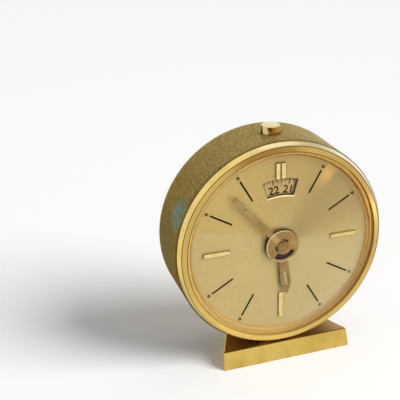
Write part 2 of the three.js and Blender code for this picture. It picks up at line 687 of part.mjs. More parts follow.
// Alarm disc: the 24-hour disc seen through the window, on a pipe with its toothed wheel
function addAlarmDisc() {
  const radius = WINDOW_OUTER_RADIUS + ALARM_DISC_LAP;
  const wheelBack = ALARM_WHEEL_LEVEL + WHEEL_THICKNESS;
  const discBack = ALARM_DISC_FRONT + ALARM_DISC_THICKNESS;
  const face = rod(radius, ALARM_DISC_FRONT, discBack, 0, 0, DIAL_STEPS);
  const pipe = rod(ALARM_PIPE_RADIUS, ALARM_DISC_FRONT + 0.1, wheelBack + 0.1, 0, 0, SMALL_STEPS);
  const gear = sheet(gearShape(ALARM_WHEEL_TEETH, ALARM_MODULE), ALARM_WHEEL_LEVEL, wheelBack);
  const bore = rod(ALARM_PIPE_BORE, ALARM_DISC_FRONT - 1, wheelBack + 1, 0, 0, SMALL_STEPS);
  addPiece('alarm_disc', cut(join(gear, pipe, face), bore), DISC_BEIGE);
}

// Openings between the spokes of a crossed-out wheel
function spokeOpenings(count, inner, outer, front, back) {
  const tools = [];
  for (let i = 0; i < count; i += 1) {
    const from = (i * 2 * Math.PI) / count;
    const to = ((i + 1) * 2 * Math.PI) / count;
    const outerTrim = SPOKE_WIDTH / 2 / outer;
    const innerTrim = SPOKE_WIDTH / 2 / inner;
    const points = [
      atHeading(outer, from + outerTrim),
      atHeading(outer, (2 * from + to) / 3),
      atHeading(outer, (from + 2 * to) / 3),
      atHeading(outer, to - outerTrim),
      atHeading(inner, to - innerTrim),
      atHeading(inner, from + innerTrim),
    ];
    tools.push(sheet(polygon(points.reverse()), front - 1, back + 1));
  }
  return tools;
}

// A toothed wheel, solid or crossed out to spokes
function wheelGeometry(teeth, module, phase, front, thickness, spokes = 0) {
  const gear = sheet(gearShape(teeth, module, phase), front, front + thickness);
  if (spokes === 0) {
    return gear;
  }
  const outer = (teeth * module) / 2 - 1.2 * module - WHEEL_RIM;
  return cut(gear, ...spokeOpenings(spokes, SPOKE_START, outer, front, front + thickness));
}

// The shallow slot in a hand that holds its luminous fill
function slotGeometry(width, length, tip, front) {
  return new THREE.BoxGeometry(width, SLOT_RECESS * 2, length).translate(0, front, tip - length / 2);
}

// Hour hand: a broad blade with a shallow slot and a point, on a round hub
function addHourHand() {
  const front = HOUR_HAND_FRONT;
  const back = front + HAND_THICKNESS;
  const root = HOUR_ROOT_WIDTH / 2;
  const shoulder = HOUR_SHOULDER_WIDTH / 2;
  const blade = polygon([
    [-root, 0],
    [root, 0],
    [shoulder, HOUR_LENGTH - HOUR_POINT_LENGTH],
    [0, HOUR_LENGTH],
    [-shoulder, HOUR_LENGTH - HOUR_POINT_LENGTH],
  ]);
  const hub = rod(HUB_RADIUS, front, back, 0, 0, 32);
  const bore = rod(HOUR_PIPE_BORE, front - 1, back + 1, 0, 0, SMALL_STEPS);
  const slot = slotGeometry(HOUR_SLOT_WIDTH, HOUR_SLOT_LENGTH, HOUR_LENGTH - HOUR_SLOT_TIP, front);
  const group = arborGroup(CENTRE, HOUR_HEADING);
  addPiece('hour_hand', cut(join(sheet(blade, front, back), hub), bore, slot), ROSE_GOLD, group);
  const washer = tube(HOUR_PIPE_BORE, HUB_RADIUS - 0.6, front - 0.2, front, 0, 0, 20);
  addPiece('hour_washer', washer, BLACK_STEEL, group);
}

// Minute hand: a tapering blade with a slot, on a pierced hub with a raised boss
function addMinuteHand() {
  const front = MINUTE_HAND_FRONT;
  const back = front + HAND_THICKNESS;
  const root = MINUTE_ROOT_WIDTH / 2;
  const tip = MINUTE_TIP_WIDTH / 2;
  const blade = polygon([[-root, 0], [root, 0], [tip, MINUTE_LENGTH], [-tip, MINUTE_LENGTH]]);
  const hub = rod(HUB_RADIUS, front, back, 0, 0, 32);
  const boss = turned([
    [0, front - BOSS_HEIGHT * 0.85],
    [BOSS_RADIUS * 0.25, front - BOSS_HEIGHT * 0.95],
    [BOSS_RADIUS * 0.55, front - BOSS_HEIGHT],
    [BOSS_RADIUS * 0.85, front - BOSS_HEIGHT * 0.85],
    [BOSS_RADIUS, front - BOSS_HEIGHT * 0.55],
    [BOSS_RADIUS, back],
    [0, back],
  ]);
  const slot = slotGeometry(
    MINUTE_SLOT_WIDTH, MINUTE_SLOT_LENGTH, MINUTE_LENGTH - MINUTE_SLOT_TIP, front);
  const degrees = THREE.MathUtils.degToRad;
  const windows = [
    sectorPoints(HUB_WINDOW_INNER_RADIUS, HUB_WINDOW_OUTER_RADIUS, degrees(160), degrees(258), 8),
    sectorPoints(HUB_ARC_INNER_RADIUS, HUB_ARC_OUTER_RADIUS, degrees(-95), degrees(-42), 4),
    sectorPoints(HUB_ARC_INNER_RADIUS, HUB_ARC_OUTER_RADIUS, degrees(42), degrees(95), 4),
  ];
  const tools = windows.map((points) => sheet(polygon(points), front - 1, back + 1));
  const group = arborGroup(CENTRE, MINUTE_HEADING);
  const hand = cut(join(sheet(blade, front, back), hub, boss), slot, ...tools);
  addPiece('minute_hand', hand, ROSE_GOLD, group);
}

// Motion work: cannon pinion, minute wheel with its pinion, and hour wheel with its pipe
function addMotionWork() {
  const thickness = WHEEL_THICKNESS;
  const level = MINUTE_WHEEL_LEVEL;
  const pipeFront = MINUTE_HAND_FRONT + HAND_THICKNESS;
  const leaves = wheelGeometry(CANNON_TEETH, MOTION_MODULE, 0, level - 0.05, thickness + 0.1);
  const pipe = rod(CANNON_RADIUS, pipeFront, level + thickness + 0.15, 0, 0, SMALL_STEPS);
  const sleeve = rod(CANNON_BORE, pipeFront - 1, RING_BACK, 0, 0, SMALL_STEPS);
  addPiece('cannon_pinion', cut(join(leaves, pipe), sleeve), STEEL);

  const toMinute = angleTo(CENTRE, MINUTE_STUD);
  const minutePhase = meshPhase(CANNON_TEETH, 0, MINUTE_WHEEL_TEETH, toMinute);
  const stud = STUD_RADIUS + RUNNING_GAP;
  const minuteGroup = arborGroup(MINUTE_STUD);
  const wheel = wheelGeometry(MINUTE_WHEEL_TEETH, MOTION_MODULE, minutePhase, level, thickness);
  const pinionFront = HOUR_WHEEL_LEVEL - 0.05;
  const pinion = wheelGeometry(
    MINUTE_PINION_TEETH, HOUR_MODULE, 0, pinionFront, level - pinionFront + 0.1);
  const studBore = rod(stud, pinionFront - 1, level + thickness + 1);
  addPiece('minute_wheel', cut(join(wheel, pinion), studBore), BRASS, minuteGroup);

  const hourPhase = meshPhase(MINUTE_PINION_TEETH, 0, HOUR_WHEEL_TEETH, toMinute + Math.PI);
  const hourWheel = wheelGeometry(
    HOUR_WHEEL_TEETH, HOUR_MODULE, hourPhase, HOUR_WHEEL_LEVEL, thickness);
  const pipeBack = HOUR_WHEEL_LEVEL + thickness + 0.1;
  const hourPipe = rod(
    HOUR_PIPE_RADIUS, HOUR_HAND_FRONT + HAND_THICKNESS, pipeBack, 0, 0, SMALL_STEPS);
  const hourBore = rod(HOUR_PIPE_BORE, HOUR_HAND_FRONT, pipeBack + 1, 0, 0, SMALL_STEPS);
  addPiece('hour_wheel', cut(join(hourWheel, hourPipe), hourBore), BRASS);
  return minutePhase;
}

// Setting arbors: a pinion at the front, a long arbor and a fluted knob behind the cover
function addSetting(name, place, teeth, module, phase, pinionLevel) {
  const group = arborGroup(place);
  const knobFront = keyFront();
  const pinion = wheelGeometry(teeth, module, phase, pinionLevel, WHEEL_THICKNESS);
  const arbor = rod(SETTING_ARBOR_RADIUS, pinionLevel, knobFront + KNOB_LENGTH / 2);
  addPiece(`${name}_setting_arbor`, join(pinion, arbor), STEEL, group);
  addPiece(`${name}_setting_knob`, knobGeometry(knobFront), BRASS, group);
}

function knobGeometry(front) {
  const points = [];
  for (let i = 0; i < KNOB_FLUTES; i += 1) {
    const step = (2 * Math.PI) / KNOB_FLUTES;
    points.push(polar(KNOB_RADIUS, i * step));
    points.push(polar(KNOB_RADIUS - KNOB_FLUTE_DEPTH, (i + 0.5) * step));
  }
  const back = front + KNOB_LENGTH;
  const crown = turned([
    [0, front - 1],
    [KNOB_RADIUS + 1, front - 1],
    [KNOB_RADIUS + 1, back - 1 - KNOB_EDGE],
    [KNOB_RADIUS - KNOB_EDGE, back],
    [0, back],
  ]);
  const fluted = toGeometry(toSolid(sheet(polygon(points), front, back)).intersect(toSolid(crown)));
  const bore = rod(SETTING_ARBOR_RADIUS + SEAT_GAP, front - 1, front + KNOB_LENGTH / 2 + SEAT_GAP);
  return cut(fluted, bore);
}

// Movement ring between the dial and the front plate
function addMovementRing() {
  const skirtBore = DIAL_RADIUS;
  const outer = BAND_BORE - SLIDING_GAP;
  const step = BEZEL_BACK + BEZEL_SKIRT_DEPTH + SLIDING_GAP;
  const inner = outer - RING_WIDTH;
  const ring = turned([
    [inner, DIAL_BACK],
    [skirtBore, DIAL_BACK],
    [skirtBore, step],
    [outer, step],
    [outer, RING_BACK],
    [inner, RING_BACK],
    [inner, DIAL_BACK],
  ], DIAL_STEPS);
  const feet = DIAL_FOOT_HEADINGS.map((degrees) => {
    const [x, z] = atHeading(dialFootCircle(), THREE.MathUtils.degToRad(degrees));
    return rod(DIAL_FOOT_RADIUS + RUNNING_GAP, DIAL_BACK - 1, RING_BACK + 1, x, z);
  });
  addPiece('movement_ring', cut(ring, ...feet), BRASS);
}

// The holes that both plates have for the arbors
function plateHoles(front, back, barrelBore) {
  const at = (radius, [x, z]) => rod(radius, front - 1, back + 1, x, z);
  const pivot = PIVOT_RADIUS + RUNNING_GAP;
  const setting = SETTING_ARBOR_RADIUS + RUNNING_GAP;
  return [
    at(ARBOR_RADIUS + RUNNING_GAP, CENTRE),
    at(pivot, INTERMEDIATE),
    at(pivot, THIRD),
    at(pivot, FOURTH),
    at(pivot, ESCAPE),
    at(pivot, ALARM_ESCAPE),
    at(pivot, HAMMER),
    at(setting, HAND_SETTING),
    at(setting, ALARM_SETTING),
    at(barrelBore, TIME_BARREL),
    at(barrelBore, ALARM_BARREL),
  ];
}

function pillarPlaces() {
  return PILLAR_ANGLES.map((degrees) => polar(PILLAR_CIRCLE_RADIUS, THREE.MathUtils.degToRad(degrees)));
}

// Front plate with the stud for the minute wheel, and back plate with the balance's holes
function addPlates() {
  const tenon = PILLAR_RADIUS * 0.6 + RUNNING_GAP;
  const frontHoles = plateHoles(RING_BACK, FRONT_PLATE_BACK, BARREL_ARBOR_RADIUS * 0.7 + RUNNING_GAP);
  const backHoles = plateHoles(BACK_PLATE_FRONT, BACK_PLATE_BACK, BARREL_ARBOR_RADIUS + RUNNING_GAP);
  for (const [x, z] of pillarPlaces()) {
    frontHoles.push(rod(tenon, RING_BACK - 1, FRONT_PLATE_BACK + 1, x, z));
    backHoles.push(rod(SCREW_RADIUS + RUNNING_GAP, BACK_PLATE_FRONT - 1, BACK_PLATE_BACK + 1, x, z));
  }
  const [studX, studZ] = MINUTE_STUD;
  const stud = rod(STUD_RADIUS, HOUR_WHEEL_LEVEL, FRONT_PLATE_BACK - PIVOT_INSET, studX, studZ);
  const front = sheet(disc(PLATE_RADIUS), RING_BACK, FRONT_PLATE_BACK, 20);
  addPiece('front_plate', join(cut(front, ...frontHoles), stud), BRASS);

  const [balanceX, balanceZ] = BALANCE;
  const staffBore = BALANCE_STAFF_RADIUS + RUNNING_GAP;
  backHoles.push(rod(staffBore, BACK_PLATE_FRONT - 1, BACK_PLATE_BACK + 1, balanceX, balanceZ));
  const [forkX, forkZ] = FORK;
  backHoles.push(rod(staffBore, BACK_PLATE_FRONT - 1, BACK_PLATE_BACK + 1, forkX, forkZ));
  const back = sheet(disc(PLATE_RADIUS), BACK_PLATE_FRONT, BACK_PLATE_BACK, 20);
  addPiece('back_plate', cut(back, ...backHoles), BRASS);
}

// Pillars between the plates, with the posts behind them that hold the cover
function addPillars() {
  pillarPlaces().forEach((place, i) => {
    const group = arborGroup(place);
    const bore = SCREW_RADIUS + RUNNING_GAP;
    const tenon = PILLAR_RADIUS * 0.6;
    const boreFront = BACK_PLATE_FRONT - PILLAR_BORE_DEPTH;
    const pillar = turned([
      [0, PIVOT_FRONT],
      [tenon, PIVOT_FRONT],
      [tenon, FRONT_PLATE_BACK],
      [PILLAR_RADIUS, FRONT_PLATE_BACK],
      [PILLAR_RADIUS, BACK_PLATE_FRONT],
      [bore, BACK_PLATE_FRONT],
      [bore, boreFront],
      [0, boreFront],
    ], 10);
    addPiece(`pillar_${i + 1}`, pillar, BRASS, group);
    addPiece(`cover_post_${i + 1}`, postGeometry(boreFront + THREAD_END_GAP), BRASS, group);
    const screw = screwGeometry(COVER_FRONT - POST_BORE_DEPTH + THREAD_END_GAP, COVER_BACK);
    addPiece(`cover_screw_${i + 1}`, screw, STEEL, group);
  });
}

// A six-sided post: its stud clamps the back plate and its bore takes a cover screw
function postGeometry(tip) {
  const bore = SCREW_RADIUS + RUNNING_GAP;
  const boreFront = COVER_FRONT - POST_BORE_DEPTH;
  return turned([
    [0, tip],
    [SCREW_RADIUS, tip],
    [SCREW_RADIUS, BACK_PLATE_BACK],
    [PILLAR_RADIUS, BACK_PLATE_BACK],
    [PILLAR_RADIUS, COVER_FRONT],
    [bore, COVER_FRONT],
    [bore, boreFront],
    [0, boreFront],
  ], 6);
}

// A barrel: toothed flange and cup, its coiled spring, and the arbor that winds it
function addBarrel(name, place) {
  const group = arborGroup(place);
  const flangeBack = BARREL_LEVEL + BARREL_TOOTH_THICKNESS;
  const cupBack = BACK_PLATE_FRONT - BARREL_END_GAP;
  const bore = BARREL_ARBOR_RADIUS + RUNNING_GAP;
  const gear = sheet(gearShape(BARREL_TEETH, BARREL_MODULE), BARREL_LEVEL, flangeBack);
  const cup = rod(BARREL_DRUM_RADIUS, flangeBack - 0.1, cupBack, 0, 0, 24);
  const hollow = rod(BARREL_DRUM_RADIUS - BARREL_WALL, flangeBack, cupBack + 1, 0, 0, 24);
  const arborBore = rod(bore, BARREL_LEVEL - 1, flangeBack + 1);
  addPiece(`${name}_barrel`, cut(join(gear, cup), hollow, arborBore), BRASS, group);

  const springFront = flangeBack + MAINSPRING_END_GAP;
  const coil = spiralShape(BARREL_ARBOR_RADIUS + 0.5, BARREL_DRUM_RADIUS - BARREL_WALL - SLIDING_GAP,
    MAINSPRING_STRIP, MAINSPRING_TURNS);
  addPiece(`${name}_mainspring`, sheet(coil, springFront, cupBack - MAINSPRING_END_GAP), BLUED_STEEL, group);

  const arbor = turned([
    [0, PIVOT_FRONT],
    [BARREL_ARBOR_RADIUS * 0.7, PIVOT_FRONT],
    [BARREL_ARBOR_RADIUS * 0.7, FRONT_PLATE_BACK + PIVOT_INSET],
    [BARREL_ARBOR_RADIUS, FRONT_PLATE_BACK + PIVOT_INSET],
    [BARREL_ARBOR_RADIUS, keyFront() + KEY_HUB_LENGTH / 2],
    [0, keyFront() + KEY_HUB_LENGTH / 2],
  ], BORE_STEPS);
  addPiece(`${name}_barrel_arbor`, arbor, STEEL, group);
  addPiece(`${name}_winding_key`, keyGeometry(), BRASS, group);
}

// A flat spiral strip between two radii, drawn as one closed outline
function spiralShape(inner, outer, strip, turns) {
  const steps = turns * SPIRAL_STEPS;
  const points = [];
  for (let i = 0; i <= steps; i += 1) {
    const radius = inner + ((outer - strip - inner) * i) / steps;
    const angle = (i / SPIRAL_STEPS) * 2 * Math.PI;
    points.splice(i, 0, polar(radius + strip, angle), polar(radius, angle));
  }
  return polygon(points);
}

function keyFront() {
  return BAND_BACK + KEY_GAP;
}

// Winding key: a round hub with a two-lobed wing standing across it
function keyGeometry() {
  const front = keyFront();
  const hubBack = front + KEY_HUB_LENGTH;
  const hub = turned([
    [0, front],
    [KEY_HUB_RADIUS, front],
    [KEY_HUB_RADIUS, hubBack - KEY_EDGE],
    [KEY_HUB_RADIUS - KEY_EDGE, hubBack],
    [0, hubBack],
  ]);
  const half = KEY_WING_SPAN / 2;
  const lobe = KEY_WING_HEIGHT / 2;
  const shape = new THREE.Shape();
  shape.moveTo(-half + lobe, 0);
  shape.lineTo(half - lobe, 0);
  shape.absarc(half - lobe, lobe, lobe, -Math.PI / 2, Math.PI / 2, false);
  shape.quadraticCurveTo(0, KEY_WING_HEIGHT - KEY_WING_DIP, -half + lobe, KEY_WING_HEIGHT);
  shape.absarc(-half + lobe, lobe, lobe, Math.PI / 2, (3 * Math.PI) / 2, false);
  const options = { depth: KEY_WING_THICKNESS, bevelEnabled: false, curveSegments: 4 };
  const wing = new THREE.ExtrudeGeometry(shape, options);
  wing.translate(0, hubBack - KEY_WING_SEAT, -KEY_WING_THICKNESS / 2);
  const bore = rod(BARREL_ARBOR_RADIUS + SEAT_GAP, front - 1, front + KEY_HUB_LENGTH / 2 + SEAT_GAP);
  return cut(join(hub, wing), bore);
}

// The numbers that describe one toothed part of a train
function gearSpec(teeth, module, phase, level) {
  return { teeth, module, phase, level };
}

// An arbor with its crossed-out wheel and its pinion, as one moving piece
function trainPiece(name, place, wheel, pinion) {
  const arbor = rod(PIVOT_RADIUS, PIVOT_FRONT, PIVOT_BACK);
  const rim = wheelGeometry(
    wheel.teeth, wheel.module, wheel.phase, wheel.level, WHEEL_THICKNESS, SPOKES);
  addPiece(name, join(arbor, rim, pinionGeometry(pinion)), BRASS, arborGroup(place));
}

// Pinion leaves, a little longer than the wheel they mesh with
function pinionGeometry(spec, wheelThickness = WHEEL_THICKNESS) {
  const excess = 0.15;
  return wheelGeometry(
    spec.teeth, spec.module, spec.phase, spec.level - excess, wheelThickness + 2 * excess);
}

// Going train: barrel to intermediate, centre, third, fourth and escape wheels
function addTrain() {
  const barrelToIntermediate = angleTo(TIME_BARREL, INTERMEDIATE);
  const intermediatePinion = meshPhase(BARREL_TEETH, 0, BARREL_PINION_TEETH, barrelToIntermediate);
  trainPiece('intermediate_wheel', INTERMEDIATE,
    gearSpec(INTERMEDIATE_TEETH, INTERMEDIATE_MODULE, 0, INTERMEDIATE_LEVEL),
    gearSpec(BARREL_PINION_TEETH, BARREL_MODULE, intermediatePinion, BARREL_LEVEL));

  const toCentre = angleTo(INTERMEDIATE, CENTRE);
  const centrePinion = meshPhase(INTERMEDIATE_TEETH, 0, CENTRE_PINION_TEETH, toCentre);
  const arborFront = MINUTE_HAND_FRONT + HAND_THICKNESS + PIVOT_INSET;
  const centreArbor = rod(ARBOR_RADIUS, arborFront, PIVOT_BACK);
  const centreWheel = wheelGeometry(
    CENTRE_TEETH, CENTRE_MODULE, 0, CENTRE_LEVEL, WHEEL_THICKNESS, SPOKES);
  const centreLeaves = pinionGeometry(
    gearSpec(CENTRE_PINION_TEETH, INTERMEDIATE_MODULE, centrePinion, INTERMEDIATE_LEVEL));
  addPiece('centre_wheel', join(centreArbor, centreWheel, centreLeaves), BRASS);

  const down = -Math.PI / 2;
  const thirdPinion = meshPhase(CENTRE_TEETH, 0, THIRD_PINION_TEETH, down);
  trainPiece('third_wheel', THIRD,
    gearSpec(THIRD_TEETH, THIRD_MODULE, 0, THIRD_LEVEL),
    gearSpec(THIRD_PINION_TEETH, CENTRE_MODULE, thirdPinion, CENTRE_LEVEL));

  const fourthPinion = meshPhase(THIRD_TEETH, 0, FOURTH_PINION_TEETH, down);
  trainPiece('fourth_wheel', FOURTH,
    gearSpec(FOURTH_TEETH, FOURTH_MODULE, 0, FOURTH_LEVEL),
    gearSpec(FOURTH_PINION_TEETH, THIRD_MODULE, fourthPinion, THIRD_LEVEL));

  const escapePinion = meshPhase(FOURTH_TEETH, 0, ESCAPE_PINION_TEETH, Math.PI);
  const group = arborGroup(ESCAPE);
  const escapeBack = ESCAPE_LEVEL + WHEEL_THICKNESS;
  const arbor = rod(PIVOT_RADIUS, PIVOT_FRONT, escapeBack + 0.3);
  const leaves = pinionGeometry(
    gearSpec(ESCAPE_PINION_TEETH, FOURTH_MODULE, escapePinion, FOURTH_LEVEL));
  const wheel = sheet(escapeShape(ESCAPE_TEETH, ESCAPE_RADIUS), ESCAPE_LEVEL, escapeBack);
  addPiece('escape_wheel', join(arbor, leaves, wheel), STEEL, group);
}

// An escape wheel outline: pointed teeth that lean forward
function escapeShape(teeth, radius) {
  const points = [];
  for (let i = 0; i < teeth; i += 1) {
    const step = (2 * Math.PI) / teeth;
    points.push(polar(radius, i * step));
    points.push(polar(radius * 0.76, (i + 0.25) * step));
    points.push(polar(radius * 0.76, (i + 0.85) * step));
  }
  return polygon(points);
}

// Pallet fork: two pallets that clear the escape wheel and a notched lever towards the balance
function addFork() {
  const group = arborGroup(FORK);
  const front = ESCAPE_LEVEL;
  const back = ESCAPE_LEVEL + WHEEL_THICKNESS;
  const half = FORK_WIDTH / 2;
  const notch = FORK_NOTCH / 2;
  const leverEnd = BALANCE_OFFSET - FORK_OFFSET - ROLLER_RADIUS - 2 * RUNNING_GAP;
  const upper = [
    [0.6, 0],
    [0.75, PALLET_REACH - 0.15],
    [1.75, PALLET_REACH],
    [1.8, PALLET_REACH + 0.4],
    [0.2, PALLET_REACH + 0.4],
    [-0.6, half],
    [-leverEnd, half],
    [-leverEnd, notch],
    [-leverEnd + FORK_NOTCH, notch],
  ];
  const lower = upper.slice(1).reverse().map(([x, z]) => [x, -z]);
  const arbor = rod(BALANCE_STAFF_RADIUS, BACK_PLATE_FRONT + PIVOT_INSET, back + PIVOT_INSET);
  const fork = sheet(polygon([...upper, ...lower]), front, back);
  addPiece('pallet_fork', join(fork, arbor), STEEL, group);
}

// Balance wheel with its arm, staff and roller, and the hairspring behind it
function addBalance() {
  const group = arborGroup(BALANCE);
  const front = BALANCE_LEVEL;
  const back = front + BALANCE_RIM;
  const rim = tube(BALANCE_RADIUS - BALANCE_RIM, BALANCE_RADIUS, front, back, 0, 0, 24);
  const span = 2 * BALANCE_RADIUS - BALANCE_RIM;
  const arm = new THREE.BoxGeometry(span, BALANCE_RIM * 0.6, FORK_WIDTH).translate(0, front + 0.3, 0);
  const staff = rod(
    BALANCE_STAFF_RADIUS, BACK_PLATE_FRONT + PIVOT_INSET, COCK_LEVEL + COCK_THICKNESS / 2);
  const roller = rod(ROLLER_RADIUS, ESCAPE_LEVEL + WHEEL_THICKNESS + 0.15, front + 0.2);
  addPiece('balance_wheel', join(rim, arm, staff, roller), BRASS, group);

  const springFront = back + 0.1;
  const coil = spiralShape(
    ROLLER_RADIUS, HAIRSPRING_RADIUS, HAIRSPRING_STRIP, HAIRSPRING_TURNS);
  addPiece('hairspring', sheet(coil, springFront, springFront + 0.3), BLUED_STEEL, group);
  addCock(group);
  addRegulator(group);
}

// Balance cock: a foot on the back plate and a tapering bridge over the balance staff
function addCock(group) {
  const back = COCK_LEVEL + COCK_THICKNESS;
  const [footX, footZ] = polar(BALANCE_RADIUS + COCK_FOOT_RADIUS + 0.7, COCK_ANGLE);
  const [acrossX, acrossZ] = polar(1, COCK_ANGLE + Math.PI / 2);
  const bossRadius = 1.6;
  const bridge = polygon([
    [footX + COCK_FOOT_RADIUS * acrossX, footZ + COCK_FOOT_RADIUS * acrossZ],
    [bossRadius * acrossX, bossRadius * acrossZ],
    [-bossRadius * acrossX, -bossRadius * acrossZ],
    [footX - COCK_FOOT_RADIUS * acrossX, footZ - COCK_FOOT_RADIUS * acrossZ],
  ]);
  const body = join(
    rod(COCK_FOOT_RADIUS, BACK_PLATE_BACK, back, footX, footZ, 16),
    rod(bossRadius, COCK_LEVEL, back, 0, 0, 16),
    sheet(bridge, COCK_LEVEL, back),
  );
  const pivot = rod(BALANCE_STAFF_RADIUS + RUNNING_GAP, COCK_LEVEL - 1, back + 1);
  addPiece('balance_cock', cut(body, pivot), BRASS, group);
}

// Regulator: a ring round the cock's boss with a lever whose pin shows in the cover's slot
function addRegulator(group) {
  const front = COCK_LEVEL + COCK_THICKNESS + 0.05;
  const back = COVER_FRONT - 0.05;
  const ring = tube(REGULATOR_RING_BORE, REGULATOR_RING_RADIUS, front, back, 0, 0, 16);
  const lever = polygon([
    [0.9, -0.5],
    [REGULATOR_REACH, -0.35],
    [REGULATOR_REACH, 0.35],
    [0.9, 0.5],
  ]);
  const pin = rod(REGULATOR_PIN_RADIUS, front, BAND_BACK + REGULATOR_PIN_RISE, REGULATOR_REACH, 0);
  const regulator = addPiece(
    'regulator_lever', join(ring, sheet(lever, front, back), pin), STEEL, group);
  regulator.rotation.y = REGULATOR_HEADING;
}

// Alarm train: the alarm's escape wheel and the hammer that it drives
function addAlarmTrain() {
  const group = arborGroup(ALARM_ESCAPE);
  const level = INTERMEDIATE_LEVEL;
  const toEscape = angleTo(ALARM_BARREL, ALARM_ESCAPE);
  const phase = meshPhase(BARREL_TEETH, 0, BARREL_PINION_TEETH, toEscape);
  const leaves = pinionGeometry(
    gearSpec(BARREL_PINION_TEETH, BARREL_MODULE, phase, BARREL_LEVEL), BARREL_TOOTH_THICKNESS);
  const wheel = sheet(
    escapeShape(ALARM_ESCAPE_TEETH, ALARM_ESCAPE_RADIUS), level, level + WHEEL_THICKNESS);
  const arbor = rod(PIVOT_RADIUS, PIVOT_FRONT, PIVOT_BACK);
  addPiece('alarm_escape_wheel', join(leaves, wheel, arbor), BRASS, group);
  addHammer(level);
}

// Hammer: its shaft carries the pallets, the arm with its head, and the tail below the button
function addHammer(level) {
  const armFront = BACK_PLATE_BACK + HAMMER_ARM_GAP;
  const armBack = armFront + HAMMER_ARM_THICKNESS;
  const arm = polygon([[-1, -0.6], [1, -0.6], [0.6, HAMMER_ARM], [-0.6, HAMMER_ARM]]);
  const pallets = polygon([
    [0.8, 0],
    [0, 1],
    [-1.35, 2.25],
    [-1.65, 1.85],
    [-0.7, 0],
    [-1.65, -1.85],
    [-1.35, -2.25],
    [0, -1],
  ]);
  const verge = sheet(pallets, level, level + WHEEL_THICKNESS);
  verge.rotateY(-HAMMER_ANGLE - HAMMER_SWING / 2);
  const top = HAMMER_TAIL_WIDTH;
  const tail = polygon([[-0.6, -0.5], [HAMMER_TAIL, -0.1], [HAMMER_TAIL, top], [-0.6, top]]);
  const hammer = join(
    rod(PIVOT_RADIUS, PIVOT_FRONT, armBack),
    sheet(arm, armFront, armBack),
    rod(HAMMER_HEAD_RADIUS, armFront, COVER_FRONT - 0.9, 0, HAMMER_ARM, 16),
    verge,
    sheet(tail, BUTTON_Y - 0.6, BUTTON_Y + 0.6),
  );
  addPiece('alarm_hammer', hammer, STEEL, arborGroup(HAMMER));
}

// Stop button: a polished cap through the band, its stem, spring and bridge
function addStopButton() {
  const top = BAND_RADIUS + BUTTON_HEIGHT;
  const flangeTop = Math.sqrt(BAND_BORE ** 2 - BUTTON_FLANGE_RADIUS ** 2) - RUNNING_GAP;
  const flangeBottom = flangeTop - BUTTON_FLANGE_THICKNESS;
  const stemEnd = HAMMER[1] + HAMMER_TAIL_WIDTH + BUTTON_TRAVEL + THREAD_END_GAP;
  const bridgeTop = PLATE_RADIUS - BRIDGE_INSET;
  const bridgeBottom = bridgeTop - BRIDGE_THICKNESS;
  const button = turned([
    [0, stemEnd],
    [BUTTON_STEM_RADIUS, stemEnd],
    [BUTTON_STEM_RADIUS, flangeBottom],
    [BUTTON_FLANGE_RADIUS, flangeBottom],
    [BUTTON_FLANGE_RADIUS, flangeTop],
    [BUTTON_RADIUS, flangeTop],
    [BUTTON_RADIUS, top - BUTTON_EDGE],
    [BUTTON_RADIUS - BUTTON_EDGE, top],
    [0, top],
  ], 18);
  addPiece('stop_button', upright(button), POLISHED_GOLD);

  const low = bridgeTop + BUTTON_SPRING_WIRE + 0.1;
  const high = flangeBottom - BUTTON_SPRING_WIRE - 0.1;
  const turns = Math.max(1, Math.round((high - low) / BUTTON_SPRING_PITCH));
  const coil = new HelixCurve(BUTTON_SPRING_RADIUS, low, high, turns);
  const section = [];
  for (let i = 0; i < BUTTON_SPRING_CORNERS; i += 1) {
    section.push(polar(BUTTON_SPRING_WIRE, (i * 2 * Math.PI) / BUTTON_SPRING_CORNERS));
  }
  const options = { steps: BUTTON_SPRING_STEPS, extrudePath: coil, bevelEnabled: false };
  const spring = new THREE.ExtrudeGeometry(polygon(section), options).translate(0, BUTTON_Y, 0);
  addPiece('stop_button_spring', spring, STEEL);

  const middle = (BACK_PLATE_FRONT + FRONT_PLATE_BACK) / 2;
  const bar = new THREE.BoxGeometry(BRIDGE_WIDTH, PLATE_SPACING, BRIDGE_THICKNESS);
  bar.translate(0, middle, (bridgeTop + bridgeBottom) / 2);
  const hole = new THREE.CylinderGeometry(
    BUTTON_STEM_RADIUS + SLIDING_GAP, BUTTON_STEM_RADIUS + SLIDING_GAP, 4 * BRIDGE_THICKNESS, BORE_STEPS);
  hole.rotateX(Math.PI / 2).translate(0, BUTTON_Y, bridgeTop);
  addPiece('stop_button_bridge', cut(bar, hole), BRASS);
}

// Stands a piece turned about Y upright on the button's axis
function upright(geometry) {
  return geometry.rotateX(Math.PI / 2).translate(0, BUTTON_Y, 0);
}

class HelixCurve extends THREE.Curve {
  constructor(radius, low, high, turns) {
    super();
    Object.assign(this, { radius, low, high, turns });
  }

  getPoint(t, target = new THREE.Vector3()) {
    const turn = t * this.turns * 2 * Math.PI;
    const z = this.low + (this.high - this.low) * t;
    return target.set(this.radius * Math.cos(turn), this.radius * Math.sin(turn), z);
  }
}

